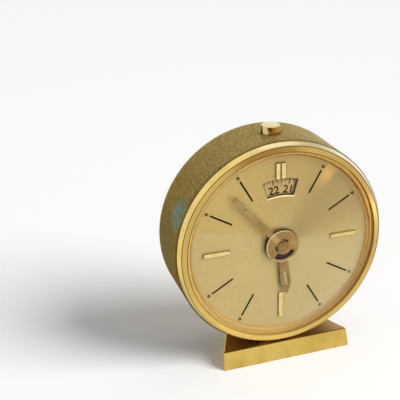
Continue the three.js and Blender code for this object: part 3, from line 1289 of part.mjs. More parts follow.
// Rear cover with its openings and the stud that the hammer strikes
function addRearCover() {
  const radius = BAND_BORE - SLIDING_GAP;
  const front = COVER_FRONT;
  const back = COVER_BACK;
  const plate = turned([
    [0, front],
    [radius, front],
    [radius, back - COVER_EDGE],
    [radius - COVER_EDGE, back],
    [0, back],
  ], DIAL_STEPS);
  const strike = HAMMER_HEAD_RADIUS + HAMMER_STUD_RADIUS + HAMMER_ARM * Math.sin(HAMMER_SWING);
  const stud = rod(HAMMER_STUD_RADIUS, front - HAMMER_STUD_LENGTH, front + COVER_EDGE,
    HAMMER[0] + strike + RUNNING_GAP, HAMMER[1] + HAMMER_ARM * Math.cos(HAMMER_SWING), 16);
  const through = (bore, [x, z]) => rod(bore, front - 4, back + 1, x, z);
  const tools = [
    through(BARREL_ARBOR_RADIUS + COVER_HOLE_GAP, TIME_BARREL),
    through(BARREL_ARBOR_RADIUS + COVER_HOLE_GAP, ALARM_BARREL),
    through(SETTING_ARBOR_RADIUS + COVER_HOLE_GAP, HAND_SETTING),
    through(SETTING_ARBOR_RADIUS + COVER_HOLE_GAP, ALARM_SETTING),
    ...pillarPlaces().map((place) => through(SCREW_RADIUS + RUNNING_GAP, place)),
  ];
  const middle = REGULATOR_HEADING + Math.PI / 2;
  const slotHalf = REGULATOR_PIN_RADIUS + COVER_SLOT_GAP;
  const arc = sectorPoints(REGULATOR_REACH - slotHalf, REGULATOR_REACH + slotHalf,
    middle - REGULATOR_SWING, middle + REGULATOR_SWING, 6);
  const slot = sheet(polygon(arc), front - 1, back + 1).translate(BALANCE[0], 0, BALANCE[1]);
  addPiece('rear_cover', cut(join(plate, stud), ...tools, slot), SATIN_GOLD);
}

// Foot: a trapezoid block, saddled for the drum and drilled for two countersunk screws
function addFoot() {
  const front = BEZEL_FRONT - FOOT_OVERHANG;
  const half = FOOT_WIDTH / 2;
  const backHalf = half - FOOT_DEPTH * Math.tan(FOOT_TAPER);
  const edge = FOOT_EDGE;
  const plan = polygon([
    [-half + edge, front + edge],
    [half - edge, front + edge],
    [backHalf - edge, front + FOOT_DEPTH - edge],
    [-backHalf + edge, front + FOOT_DEPTH - edge],
  ]);
  const block = new THREE.ExtrudeGeometry(plan, {
    depth: FOOT_HEIGHT - 2 * edge,
    bevelThickness: edge,
    bevelSize: edge,
    bevelSegments: 2,
  });
  block.translate(0, 0, edge);
  const saddle = rod(BAND_RADIUS + SEAT_GAP, BEZEL_FRONT - 0.3, front + FOOT_DEPTH + 1,
    0, AXIS_HEIGHT, CASE_STEPS);
  const tools = [saddle];
  for (const side of [-1, 1]) {
    const bore = turned([
      [0, -1],
      [FOOT_SCREW_HEAD + RUNNING_GAP, -1],
      [FOOT_SCREW_HEAD + RUNNING_GAP, FOOT_SCREW_RECESS + 0.3],
      [FOOT_SCREW_RADIUS + RUNNING_GAP, FOOT_SCREW_RECESS + FOOT_SCREW_HEAD_HEIGHT + 0.15],
      [FOOT_SCREW_RADIUS + RUNNING_GAP, FOOT_HEIGHT + 1],
      [0, FOOT_HEIGHT + 1],
    ]);
    tools.push(bore.rotateX(Math.PI / 2).translate(side * FOOT_SCREW_SPREAD, FOOT_SCREW_Y, 0));
  }
  addPiece('foot', cut(block, ...tools), SATIN_GOLD, clock);
}

function addFootScrews() {
  const inside = AXIS_HEIGHT - Math.sqrt(BAND_BORE ** 2 - FOOT_SCREW_SPREAD ** 2);
  const end = inside + FOOT_SCREW_REACH;
  [-1, 1].forEach((side, i) => {
    const screw = turned([
      [0, FOOT_SCREW_RECESS],
      [FOOT_SCREW_HEAD, FOOT_SCREW_RECESS],
      [FOOT_SCREW_HEAD, FOOT_SCREW_RECESS + 0.3],
      [FOOT_SCREW_RADIUS, FOOT_SCREW_RECESS + FOOT_SCREW_HEAD_HEIGHT],
      [FOOT_SCREW_RADIUS, end - 0.4],
      [FOOT_SCREW_RADIUS * 0.6, end],
      [0, end],
    ]);
    screw.rotateX(Math.PI / 2).translate(side * FOOT_SCREW_SPREAD, FOOT_SCREW_Y, 0);
    addPiece(`foot_screw_${i + 1}`, screw, STEEL, clock);
  });
}

addBand();
addBezel();
addCrystal();
addDial();
addIndexes();
addAlarmDisc();
addHourHand();
addMinuteHand();
const minuteWheelPhase = addMotionWork();
const settingDirection = angleTo(MINUTE_STUD, HAND_SETTING);
const handPinionPhase = meshPhase(
  MINUTE_WHEEL_TEETH, minuteWheelPhase, SETTING_PINION_TEETH, settingDirection);
addSetting(
  'hand', HAND_SETTING, SETTING_PINION_TEETH, MOTION_MODULE, handPinionPhase, MINUTE_WHEEL_LEVEL);
const alarmPinionPhase = meshPhase(
  ALARM_WHEEL_TEETH, 0, ALARM_PINION_TEETH, angleTo(CENTRE, ALARM_SETTING));
addSetting(
  'alarm', ALARM_SETTING, ALARM_PINION_TEETH, ALARM_MODULE, alarmPinionPhase, ALARM_WHEEL_LEVEL);
addMovementRing();
addPlates();
addPillars();
addBarrel('time', TIME_BARREL);
addBarrel('alarm', ALARM_BARREL);
addTrain();
addFork();
addBalance();
addAlarmTrain();
addStopButton();
addRearCover();
addFoot();
addFootScrews();

export default clock;
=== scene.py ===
import json
import math

import bmesh
import bpy
from mathutils import Matrix, Vector


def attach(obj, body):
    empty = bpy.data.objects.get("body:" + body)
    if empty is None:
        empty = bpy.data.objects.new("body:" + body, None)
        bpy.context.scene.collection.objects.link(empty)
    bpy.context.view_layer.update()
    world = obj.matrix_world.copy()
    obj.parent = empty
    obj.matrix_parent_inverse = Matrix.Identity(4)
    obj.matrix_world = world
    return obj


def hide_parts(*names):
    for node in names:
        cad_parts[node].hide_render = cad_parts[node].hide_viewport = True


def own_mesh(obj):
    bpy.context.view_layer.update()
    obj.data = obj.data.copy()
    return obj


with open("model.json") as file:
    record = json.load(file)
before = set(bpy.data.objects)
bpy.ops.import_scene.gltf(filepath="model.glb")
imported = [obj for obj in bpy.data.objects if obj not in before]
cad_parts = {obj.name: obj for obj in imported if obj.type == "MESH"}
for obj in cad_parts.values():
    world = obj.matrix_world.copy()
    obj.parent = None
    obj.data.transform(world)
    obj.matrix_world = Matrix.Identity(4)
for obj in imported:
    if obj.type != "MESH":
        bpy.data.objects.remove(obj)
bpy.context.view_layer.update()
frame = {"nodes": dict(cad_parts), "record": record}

MM = 0.001
MERGE_DISTANCE = 2e-6
SMOOTH_ANGLE = math.radians(32)
BEVEL_ANGLE = math.radians(35)
FULL_TURN = 360.0
DEGREES_PER_HOUR = 30.0
DEGREES_PER_ALARM_HOUR = 15.0

# Sizes in millimetres. Depths run along Y, as the drum's axis does, and are negative towards
# the reader.
AXIS_HEIGHT = 38.55
BAND_RADIUS = 33.1
BAND_BORE = 31.6
BAND_BACK = 10.33
BAND_ROUNDING = 0.6
BAND_GROOVE = 9.5
BEZEL_FRONT = -11.0
BEZEL_BACK = -9.07
BEZEL_BACK_RADIUS = 32.85
BEZEL_FRONT_RADIUS = 32.0
LIP_RADIUS = 30.05
LIP_FRONT = -11.3
CRYSTAL_RIM = -11.2
CRYSTAL_RISE = 1.9
CRYSTAL_THICKNESS = 0.9
CRYSTAL_SEAT = -10.3
SIGHT_RADIUS = 28.5
DIAL_FRONT = -9.05
DIAL_BACK = -8.55
DIAL_RADIUS = 30.6
DIAL_BORE = 2.3
DIAL_FOOT_HEADINGS = (40.0, 220.0)
ALARM_DISC_FRONT = -8.25
NUMERAL_HEIGHT = 3.4
NUMERAL_CIRCLE = 17.55
ALARM_TIME = 21.57
PRINT_THICKNESS = 0.03
PRINT_ROOT = 0.02
WINDOW_INNER = 16.3
WINDOW_OUTER = 21.05
WINDOW_START = -15.2
WINDOW_END = 14.4
WINDOW_BEVEL = 0.25
COVER_FRONT = 9.18
COVER_BACK = 10.08
COVER_RADIUS = 31.35
BATON_HEIGHT = 0.5
BATON_EDGE = 0.26
TWELVE_SHIFTS = {"left": -1.02, "right": 0.7}
HOUR_FRONT = -10.0
MINUTE_FRONT = -10.7
HAND_THICKNESS = 0.3
HAND_EDGE = 0.12
HUB_RADIUS = 5.05
HOUR_PIPE_BORE = 1.4
BUTTON_Y = -0.6
BUTTON_RADIUS = 2.9
BUTTON_HEIGHT = 2.6
FLANGE_TOP = 69.825
FLANGE_RADIUS = 3.35
BUTTON_STEM_END = 57.8
SPRING_LOW = 64.1
SPRING_HIGH = 68.675
SPRING_TURNS = 4
SPRING_RADIUS = 2.1
SPRING_WIRE = 0.25
FOOT_FRONT = -13.05
FOOT_DEPTH = 22.0
FOOT_WIDTH = 43.3
FOOT_HEIGHT = 6.15
FOOT_TOP = FOOT_HEIGHT - AXIS_HEIGHT
FOOT_RAKE = 1.35
FOOT_DRAFT = 0.42
FOOT_DROP = 0.6
FOOT_SHIFT = 1.3
FOOT_SCREWS = [(-7.0, 1.0), (7.0, 1.0)]
FOOT_SCREW_BORE = 1.15
KEY_FRONT = 10.63
KNOB_BACK = KEY_FRONT + 2.8
KNOB_FLUTES = 24
SHAFT_FRONT = 9.0
KEY_PLACES = [(-15.56, 2.744), (15.56, 2.744)]
KNOB_PLACES = [(-7.778, -7.778), (7.778, -7.778)]
COVER_SCREW_CIRCLE = 23.3
REGULATOR_CENTRE = (-13.04, -14.175)
REGULATOR_REACH = 7.0

# The play about a seated piece, how far a cutter reaches past what it cuts, and a depth in
# front of the dial and the hands.
CLEARANCE = 0.15
THROUGH = 1.0
FAR_FRONT = -12.0

# Directions in degrees clockwise from twelve, and the foot's turn and taper.
MINUTE_HEADING = 319.2
HOUR_HEADING = 173.8
COVER_SCREW_HEADINGS = [40.0, 320.0, 165.0]
REGULATOR_HEADING = 225
FOOT_YAW = math.radians(1.2)
FOOT_TAPER = math.radians(23)

# The photograph's light, in metres. Lamps: name, place, size, power, seen in reflections.
FLOOR_LIFT = 0.05
ROOM_LEVEL = 0.3
SUN_STRENGTH = 3.25
SUN_FROM = (0.62, -0.5, 0.62)
SUN_SPREAD = math.radians(35)
LAMPS = [
    ("low_light", (0.13, -0.13, 0.006), 0.03, 0.2, False),
    ("top_light", (0.12, 0.10, 0.42), 0.25, 0.09, True),
]
CARD_PLACE = (-0.16, 0.03, 0.0006)
CARD_WIDTH = 0.18
CARD_HEIGHT = 0.24
CARD_LEVEL = 0.96


def mm(x, y, z):
    """A point or step in metres from millimetres."""
    return Vector((x, y, z)) * MM


def at(x, y, z):
    """The same with z measured from the drum's axis."""
    return mm(x, y, AXIS_HEIGHT + z)


def heading_point(radius, heading):
    """x and z of a point at a clock heading, in degrees clockwise from twelve."""
    angle = math.radians(heading)
    return radius * math.sin(angle), radius * math.cos(angle)


def turn_outline(outline, heading):
    """Points (x, z) turned clockwise about the drum's axis."""
    sine, cosine = heading_point(1.0, heading)
    return [(x * cosine + z * sine, z * cosine - x * sine) for x, z in outline]


def circle_outline(radius, steps):
    return [heading_point(radius, FULL_TURN * i / steps) for i in range(steps)]


def sector_outline(inner, outer, start, end, steps):
    """A band between two radii and two headings."""
    headings = [start + (end - start) * i / steps for i in range(steps + 1)]
    points = [heading_point(outer, heading) for heading in headings]
    return points + [heading_point(inner, heading) for heading in reversed(headings)]


def around(x, y, *steps):
    """Points given by their steps from one point."""
    return [(x + across, y + along) for across, along in steps]


def arc(x, y, radius, first, count):
    """Points about a centre, 15 degrees apart."""
    angles = [math.radians(first + 15 * i) for i in range(count)]
    return [(x + radius * math.cos(angle), y + radius * math.sin(angle)) for angle in angles]


def pick(piece):
    """Makes one piece the only selected and active object."""
    bpy.ops.object.select_all(action="DESELECT")
    piece.select_set(True)
    bpy.context.view_layer.objects.active = piece


def name_piece(piece, name):
    piece.name = name
    piece.data.name = name
    piece.data.materials.clear()
    return piece


def freeze():
    """Applies the place, turn and scale of what is selected."""
    bpy.ops.object.transform_apply(location=True, rotation=True, scale=True)


def add_plane(name, size, place=(0, 0, 0)):
    bpy.ops.object.select_all(action="DESELECT")
    bpy.ops.mesh.primitive_plane_add(size=size, location=place)
    return name_piece(bpy.context.active_object, name)


def draw_line(name, points):
    """A new piece: a small plane merged to one point, which is extruded along the line."""
    piece = add_plane(name, MM)
    bpy.ops.object.mode_set(mode="EDIT")
    bpy.ops.mesh.select_all(action="SELECT")
    bpy.ops.mesh.merge(type="CENTER")
    bpy.ops.transform.translate(value=points[0])
    for start, end in zip(points, points[1:]):
        extrude(end - start)
    return piece


def extrude(step):
    bpy.ops.mesh.extrude_region_move(TRANSFORM_OT_translate={"value": step})


def weld():
    """Merges the points that lie together, and leaves the whole mesh selected."""
    bpy.ops.mesh.select_all(action="SELECT")
    bpy.ops.mesh.remove_doubles(threshold=MERGE_DISTANCE)


def draw_loop(name, points):
    """A closed line, left open in edit mode."""
    piece = draw_line(name, points + points[:1])
    weld()
    return piece


def prism(name, points, step):
    """A closed line that is filled and extruded, left open in edit mode."""
    piece = draw_loop(name, points)
    bpy.ops.mesh.edge_face_add()
    extrude(step)
    return piece


def select_where(piece, kind, test):
    """Selects the verts or edges that pass a test, of the piece that is open in edit mode."""
    bpy.ops.mesh.select_all(action="DESELECT")
    mesh = bmesh.from_edit_mesh(piece.data)
    for part in getattr(mesh, kind):
        if test(part):
            part.select_set(True)
    bmesh.update_edit_mesh(piece.data)


def close_mesh(piece):
    """Merges seams and poles, turns the faces outwards and shades the curved ones smooth."""
    weld()
    bpy.ops.mesh.normals_make_consistent(inside=False)
    bpy.ops.object.mode_set(mode="OBJECT")
    return shade(piece)


def shade(piece):
    pick(piece)
    bpy.ops.object.shade_smooth_by_angle(angle=SMOOTH_ANGLE)
    return piece


def spin(name, points, pivot, axis, steps):
    piece = draw_line(name, points)
    bpy.ops.mesh.select_all(action="SELECT")
    bpy.ops.mesh.spin(steps=steps, angle=math.tau, center=pivot, axis=axis)
    return close_mesh(piece)


def turned(name, profile, steps, centre=(0.0, 0.0)):
    """A turned piece: (radius, y) points spun about an axis along Y."""
    x, z = centre
    points = [at(x + radius, y, z) for radius, y in profile]
    return spin(name, points, at(x, 0, z), (0, 1, 0), steps)


def turned_upright(name, profile, centre, steps):
    """A turned piece that stands upright: (radius, height) points spun about Z."""
    x, y = centre
    points = [mm(x + radius, y, height) for radius, height in profile]
    return spin(name, points, mm(x, y, 0), (0, 0, 1), steps)


def rod(radius, start, end):
    """The profile of a plain rod."""
    return [(0, start), (radius, start), (radius, end), (0, end)]


def cut_out(name, outline, front, back, centre=(0.0, 0.0)):
    """A flat piece: an outline of (x, z) points seen from the dial side, thick along Y."""
    points = [at(x + centre[0], front, z + centre[1]) for x, z in outline]
    return close_mesh(prism(name, points, mm(0, back - front, 0)))


def bar(name, half, inner, outer, front, back, heading=0.0, shift=0.0, centre=(0.0, 0.0)):
    """A straight bar that points at a heading, moved sideways by shift."""
    left, right = shift - half, shift + half
    outline = [(left, inner), (right, inner), (right, outer), (left, outer)]
    return cut_out(name, turn_outline(outline, heading), front, back, centre)


def apply_modifier(piece, kind, **settings):
    pick(piece)
    modifier = piece.modifiers.new(kind.lower(), kind)
    for key, value in settings.items():
        setattr(modifier, key, value)
    bpy.ops.object.modifier_apply(modifier=modifier.name)
    return piece


def combine(piece, tools, operation):
    for tool in tools:
        apply_modifier(piece, "BOOLEAN", operation=operation, solver="EXACT", object=tool)
        bpy.data.objects.remove(tool)
    return piece


def cut(piece, *tools):
    return shade(combine(piece, tools, "DIFFERENCE"))


def join_solids(piece, *others):
    return combine(piece, others, "UNION")


def soften_edges(piece, width, segments=2, clamp=True):
    """Rounds the sharp edges."""
    apply_modifier(
        piece, "BEVEL", width=width * MM, segments=segments, limit_method="ANGLE",
        angle_limit=BEVEL_ANGLE, use_clamp_overlap=clamp)
    return shade(piece)


def join_pieces(name, pieces):
    """Several pieces as one object."""
    pick(pieces[0])
    for piece in pieces[1:]:
        piece.select_set(True)
    bpy.ops.object.join()
    return name_piece(bpy.context.active_object, name)


def place_by(piece, matrix):
    piece.matrix_world = matrix
    pick(piece)
    freeze()
    return piece


def about_axis(heading):
    """A clockwise turn about the drum's axis."""
    pivot = at(0, 0, 0)
    turn = Matrix.Rotation(math.radians(heading), 4, "Y")
    return Matrix.Translation(pivot) @ turn @ Matrix.Translation(-pivot)


def repeat(shape, headings):
    """Copies of a shape, with their own meshes, at headings about the drum's axis."""
    copies = []
    for heading in headings:
        copy = shape.copy()
        copy.data = shape.data.copy()
        bpy.context.scene.collection.objects.link(copy)
        copies.append(place_by(copy, about_axis(heading)))
    bpy.data.objects.remove(shape)
    return copies


# Finishes

def shade_of(red, green, blue):
    """A colour as seen on a screen, made linear."""
    def linear(level):
        share = level / 255
        return share / 12.92 if share <= 0.04045 else ((share + 0.055) / 1.055) ** 2.4
    return linear(red), linear(green), linear(blue), 1.0


def maths(operation, reverse=False):
    """A method of Value that adds one Math node."""
    def method(*values):
        operands = values[::-1] if reverse else values
        return values[0].nodes.node(
            "ShaderNodeMath", {"operation": operation}, dict(enumerate(operands)))
    return method


class Value:
    """A number or colour that varies over a surface, usable in plain arithmetic."""

    def __init__(self, nodes, socket):
        self.nodes = nodes
        self.socket = socket

    __add__ = __radd__ = maths("ADD")
    __sub__ = maths("SUBTRACT")
    __rsub__ = maths("SUBTRACT", reverse=True)
    __mul__ = __rmul__ = maths("MULTIPLY")
    __truediv__ = maths("DIVIDE")
    root = maths("SQRT")
    size = maths("ABSOLUTE")
    larger = maths("MAXIMUM")

    def over(self, low, high):
        """0 below low and 1 above high, with a smooth step between."""
        return self.nodes.node(
            "ShaderNodeMapRange", {"interpolation_type": "SMOOTHSTEP"},
            {"Value": self, "From Min": low, "From Max": high})

    def under(self, low, high):
        return 1 - self.over(low, high)

    def coat(self, share, *colour):
        """This colour under another one, which shows as far as share goes."""
        return self.nodes.blend(share, self, colour)

    def coats(self, *layers):
        """This colour under several: share, red, green and blue of each, the top one last."""
        base = self
        for layer in layers:
            base = base.coat(*layer)
        return base


class Nodes:
    """A node tree that is built call by call."""

    def __init__(self, tree):
        self.tree = tree

    def node(self, kind, settings=None, sockets=None, output=0):
        """Adds a node and gives one of its outputs."""
        node = self.tree.nodes.new(kind)
        for key, value in (settings or {}).items():
            setattr(node, key, value)
        for key, value in (sockets or {}).items():
            self.feed(node.inputs[key], value)
        return Value(self, node.outputs[output])

    def feed(self, target, value):
        if isinstance(value, Value):
            self.tree.links.new(value.socket, target)
        else:
            target.default_value = value


class Finish(Nodes):
    """One procedural material."""

    def __init__(self, name, metallic, roughness, **values):
        self.material = bpy.data.materials.new(name)
        self.material.use_nodes = True
        super().__init__(self.material.node_tree)
        self.shader = self.tree.nodes["Principled BSDF"]
        self.paint(Metallic=metallic, Roughness=roughness, **values)

    def paint(self, **values):
        for key, value in values.items():
            self.feed(self.shader.inputs[key.replace("_", " ")], value)
        return self

    def place(self, stretch=(1.0, 1.0, 1.0)):
        """Millimetres from the drum's axis, in the frame's directions."""
        return self.node("ShaderNodeMapping", {}, {
            "Vector": self.node("ShaderNodeTexCoord", output="Object"),
            "Location": (0, 0, -AXIS_HEIGHT * stretch[2]),
            "Scale": [share / MM for share in stretch],
        })

    def axes(self):
        """x, y and z in millimetres from the drum's axis."""
        x = self.node("ShaderNodeSeparateXYZ", {}, {0: self.place()})
        return [Value(self, output) for output in x.socket.node.outputs]

    def vector(self, x, y, z):
        return self.node("ShaderNodeCombineXYZ", {}, {0: x, 1: y, 2: z})

    def noise(self, scale, detail=3.0, roughness=0.6, vector=None, distortion=0.0):
        """Even noise, scale times per millimetre."""
        return self.node("ShaderNodeTexNoise", {}, {
            "Vector": vector or self.place(), "Scale": scale, "Detail": detail,
            "Roughness": roughness, "Distortion": distortion,
        })

    def specks(self, scale, size):
        """Small round specks: 1 inside a speck and 0 outside."""
        distance = self.node("ShaderNodeTexVoronoi", {}, {
            "Vector": self.place(), "Scale": scale, "Randomness": 1.0,
        }, "Distance")
        return distance.under(size * 0.6, size)

    def freckles(self, scale=0.42, size=0.16, spread=0.3, share=0.52):
        """Specks that gather in places."""
        return self.specks(scale, size) * self.noise(spread, 2.0, 0.5).over(share, 0.6)

    def blend(self, share, *colours):
        """The first colour where share is 0 and the second where it is 1."""
        first, second = [c if isinstance(c, Value) else shade_of(*c) for c in colours]
        return self.node(
            "ShaderNodeMix", {"data_type": "RGBA"}, {0: share, 6: first, 7: second}, 2)

    def near(self, point, reach, soft):
        """1 near a point given in millimetres from the axis, fading to 0."""
        sockets = {0: self.place(), 1: point}
        distance = self.node(
            "ShaderNodeVectorMath", {"operation": "DISTANCE"}, sockets, "Value")
        return distance.under(reach, reach + soft)

    def ring(self, radius, middle, half):
        """1 on a thin line at one radius, fading to 0 on both sides."""
        return (radius - middle).size().under(half * 0.4, half)

    def bump(self, height, depth, strength):
        """Surface relief, depth in millimetres."""
        return self.paint(Normal=self.node("ShaderNodeBump", {}, {
            "Height": height, "Distance": depth * MM, "Strength": strength,
        }))

    def wear(self, base, marks, gain, least, depth=0.01, strength=0.3, **values):
        """A base colour with marks that give relief and rough places."""
        self.paint(Base_Color=base, Roughness=marks * gain + least, **values)
        return self.bump(marks, depth, strength)


def off_axis(x, z):
    """The distance from the drum's axis."""
    return (x * x + z * z + 0.01).root()


def grained_gold():
    """The drum's wall: finely grained matt gold, tarnished olive, with a green patch; painted
    darker towards the lower left and by the bezel as painted shade, with a painted glare at the
    upper right.
    """
    finish = Finish("grained_gold", metallic=0.8, roughness=0.5, Specular_IOR_Level=0.25,
                    Specular_Tint=shade_of(214, 190, 136))
    x, y, z = finish.axes()
    grain = finish.noise(1.9, 4, 0.76, distortion=0.6)
    cloud = finish.noise(0.16)
    # Painted shade: the wall gets darker towards the lower left; the cloud adds random tarnish.
    height = (z + x * 0.75).over(-30, 40)
    shade_and_tarnish = (1 - height) * 0.9 + cloud * 0.35 - 0.14
    base = finish.blend(shade_and_tarnish, (176, 155, 102), (112, 89, 31))
    base = finish.blend(grain.over(0.4, 0.56) * 0.7 + 0.3, (66, 52, 19), base)
    sparkle = finish.noise(3.4, 2)
    glare = (x * 0.5 + z * 0.5).over(17, 30) * z.over(10, 26)
    # Painted shade on the wall's front, next to the bezel.
    shade_by_bezel = y.under(BEZEL_BACK + 0.2, BEZEL_BACK + 1.3)
    blotch = finish.noise(0.95, 5, 0.8, distortion=1.2)
    patch = finish.near((-31, -3.9, 12.8), 1.6, 5.2)
    trail = finish.near((-33, 3.5, 2), 3, 9)
    green = patch * blotch.over(0.42, 0.56)
    haze = trail * blotch.over(0.44, 0.6) * 0.75
    rim = y.over(BAND_GROOVE, BAND_GROOVE + 0.12)
    base = base.coats(
        (grain.over(0.54, 0.68) * 0.5, 206, 184, 112),
        (sparkle.over(0.53, 0.66) * 0.55, 230, 206, 150),
        (glare * 0.5, 214, 212, 192),
        (shade_by_bezel * 0.5, 76, 62, 26),
        (haze, 86, 104, 72),
        (green * 0.85, 82, 148, 142),
        (green * grain.over(0.5, 0.6) * 0.6, 146, 188, 176),
        (rim, 222, 196, 124))
    finish.bump(grain, 0.09, 0.7)
    dull = (grain * 0.3 + 0.4) * (1 - rim) + rim * 0.22
    return finish.paint(Base_Color=base, Roughness=dull, Metallic=0.8 - green * 0.6 - haze * 0.3)


def bezel_gold():
    """The bezel: a brushed pale flare and a polished band, painted lighter and darker by side as
    painted reflection, with dark lines of painted shade at a groove and at the lip.
    """
    finish = Finish("bezel_gold", metallic=1, roughness=0.2)
    x, y, z = finish.axes()
    radius = off_axis(x, z)
    along_x = x / radius
    along_z = z / radius
    # Painted reflection: the band is painted darker to the right, at the top and at the lower
    # right, and lighter below.
    top = (along_z * 0.985 - along_x * 0.174).over(0.9, 1)
    lower_right = (along_x - along_z).over(0.9, 1.35)
    below = (along_x * 0.1 - along_z).over(0.05, 0.9)
    cloud = finish.noise(0.16)
    band = finish.blend(along_x.over(0.2, 0.9), (208, 176, 98), (192, 160, 94)).coats(
        (below, 234, 202, 114), (top, 160, 122, 58), (lower_right * 0.4, 184, 152, 86))
    # Painted reflection: the flare is paler at the top, with painted highlights at the upper and
    # lower right.
    pale_top = (along_z + along_x * 0.5).over(0.72, 1.02)
    flare = finish.blend(pale_top, (238, 208, 128), (200, 187, 146)).coats(
        (along_x.over(0.3, 0.7) * along_z.over(0.1, 0.5), 255, 248, 226),
        (along_x.over(0.35, 0.8) * (along_z * -1).over(0.1, 0.5), 250, 236, 190))
    on_flare = radius.over(BEZEL_FRONT_RADIUS - 0.1, BEZEL_FRONT_RADIUS + 0.02)
    base = finish.blend(on_flare, band, flare)
    inside = radius.under(LIP_RADIUS + 0.01, LIP_RADIUS + 0.05)
    # Painted reflection: the inner wall is painted lighter on the left and darker to the right,
    # below and at the lower right.
    wall = finish.blend(along_x.under(-0.6, 0.2), (196, 152, 80), (224, 188, 112)).coats(
        (below, 200, 166, 94), (lower_right, 186, 146, 84))
    # Painted shade: dark lines at the front face's groove and at the lip's edge, fainter below
    # where the light falls.
    outer_line = finish.ring(radius, BEZEL_FRONT_RADIUS - 0.14, 0.18)
    inner_line = finish.ring(radius, LIP_RADIUS + 0.12, 0.21)
    front = y.under(BEZEL_FRONT + 0.3, BEZEL_FRONT + 0.5)
    lines = (outer_line + inner_line) * front
    base = finish.blend(inside, base, wall).coats(
        (cloud.over(0.4, 0.75) * 0.35, 196, 160, 84),
        (finish.freckles() * 0.7, 96, 66, 30),
        (lines * (0.95 - below * 0.75), 108, 72, 22))
    scratches = finish.noise(1.1, 3, 0.7)
    return finish.wear(base, scratches, 0.14, 0.14, Metallic=1 - inside * below * 0.55)


def key_brass():
    """Polished plate with a soft cloud of wear, fine scratches and a few dark specks."""
    finish = Finish("key_brass", metallic=1, roughness=0.26)
    cloud = finish.noise(0.16)
    base = finish.blend(cloud.over(0.35, 0.7) * 0.55, (220, 188, 112), (186, 150, 80))
    base = base.coat(finish.freckles() * 0.75, 88, 60, 26)
    scratches = finish.noise(2.4, 2, vector=finish.place((1, 0.22, 1)))
    return finish.wear(base, scratches, 0.12, 0.22, 0.012, 0.25)


def foot_gold():
    """The foot: satin gold on its sides, and a sandy top painted a warmer orange, strongest on the
    left, as painted reflection, with a line of painted shade behind its front edge.
    """
    finish = Finish("foot_gold", metallic=1, roughness=0.3)
    x, y, z = finish.axes()
    cloud = finish.noise(0.16)
    sand = finish.noise(2.2, 3, 0.75)
    base = finish.blend(cloud.over(0.35, 0.7), (218, 186, 102), (202, 168, 84))
    behind = y - (FOOT_FRONT + FOOT_RAKE + 0.6 + x * math.tan(FOOT_YAW))
    slope = FOOT_DROP / (FOOT_DEPTH - FOOT_RAKE)
    upper = (z - behind * slope - (FOOT_TOP - FOOT_DROP)).over(-0.2, -0.05)
    # Painted reflection: the top's warm orange, strongest on the left, stands for the dark drum
    # that it reflects; the sand is the top's own grain.
    plate = finish.blend(x.over(2, 17), (255, 206, 110), (184, 148, 98))
    plate = plate.coat(sand.over(0.45, 0.6) * 0.4, 232, 170, 74)
    base = finish.blend(upper * behind.over(0, 0.2), base, plate)
    # Painted shade: a dark line on the top just behind its front edge.
    crease_shade = finish.ring(behind, 0.3, 0.4) * upper
    base = base.coats(
        (crease_shade * 0.7, 110, 78, 24),
        (finish.freckles(0.4, 0.12, 0.23, 0.53) * 0.6, 130, 100, 44))
    return finish.wear(base, sand, 0.16, 0.24, 0.02, 0.5)


def button_gold():
    """The stop button: a top painted bright and pale, and duller, darker sides with painted dark
    and bright reflections.
    """
    finish = Finish("button_gold", metallic=1, roughness=0.14)
    x, y, z = finish.axes()
    depth = y - BUTTON_Y
    across = (depth * depth + x * x).root()
    rise = z - BAND_RADIUS
    tone = finish.noise(0.5)
    wave = finish.noise(0.5, 2, 0.5) - 0.5
    # Painted reflections: dark and bright bands by heading on the sides, which are darker higher
    # up, and a duller ring at the top's edge.
    sweep = x * 0.85 - depth * 0.35 + wave
    dark = finish.ring(sweep, -0.1, 0.9) * rise.over(0.6, 1.4)
    side = finish.blend(rise.over(0.1, 1.4), (176, 136, 58), (150, 108, 46)).coats(
        (sweep.over(0.8, 1.8), 176, 132, 62),
        (finish.ring(sweep, -1.4, 0.9) * 0.8, 226, 208, 150),
        (dark * 0.9, 76, 50, 12),
        (sweep.under(-2.4, -1.9), 56, 36, 10))
    crown = finish.blend(tone.over(0.35, 0.7) * 0.6, (234, 224, 170), (206, 190, 124))
    crown = crown.coat(across.over(2.3, 2.6) * 0.5, 214, 196, 128)
    on_top = rise.over(BUTTON_HEIGHT - 0.4, BUTTON_HEIGHT - 0.1)
    base = finish.blend(on_top, side, crown)
    return finish.wear(base, finish.noise(2, 3, 0.7), 0.12, 0.1)


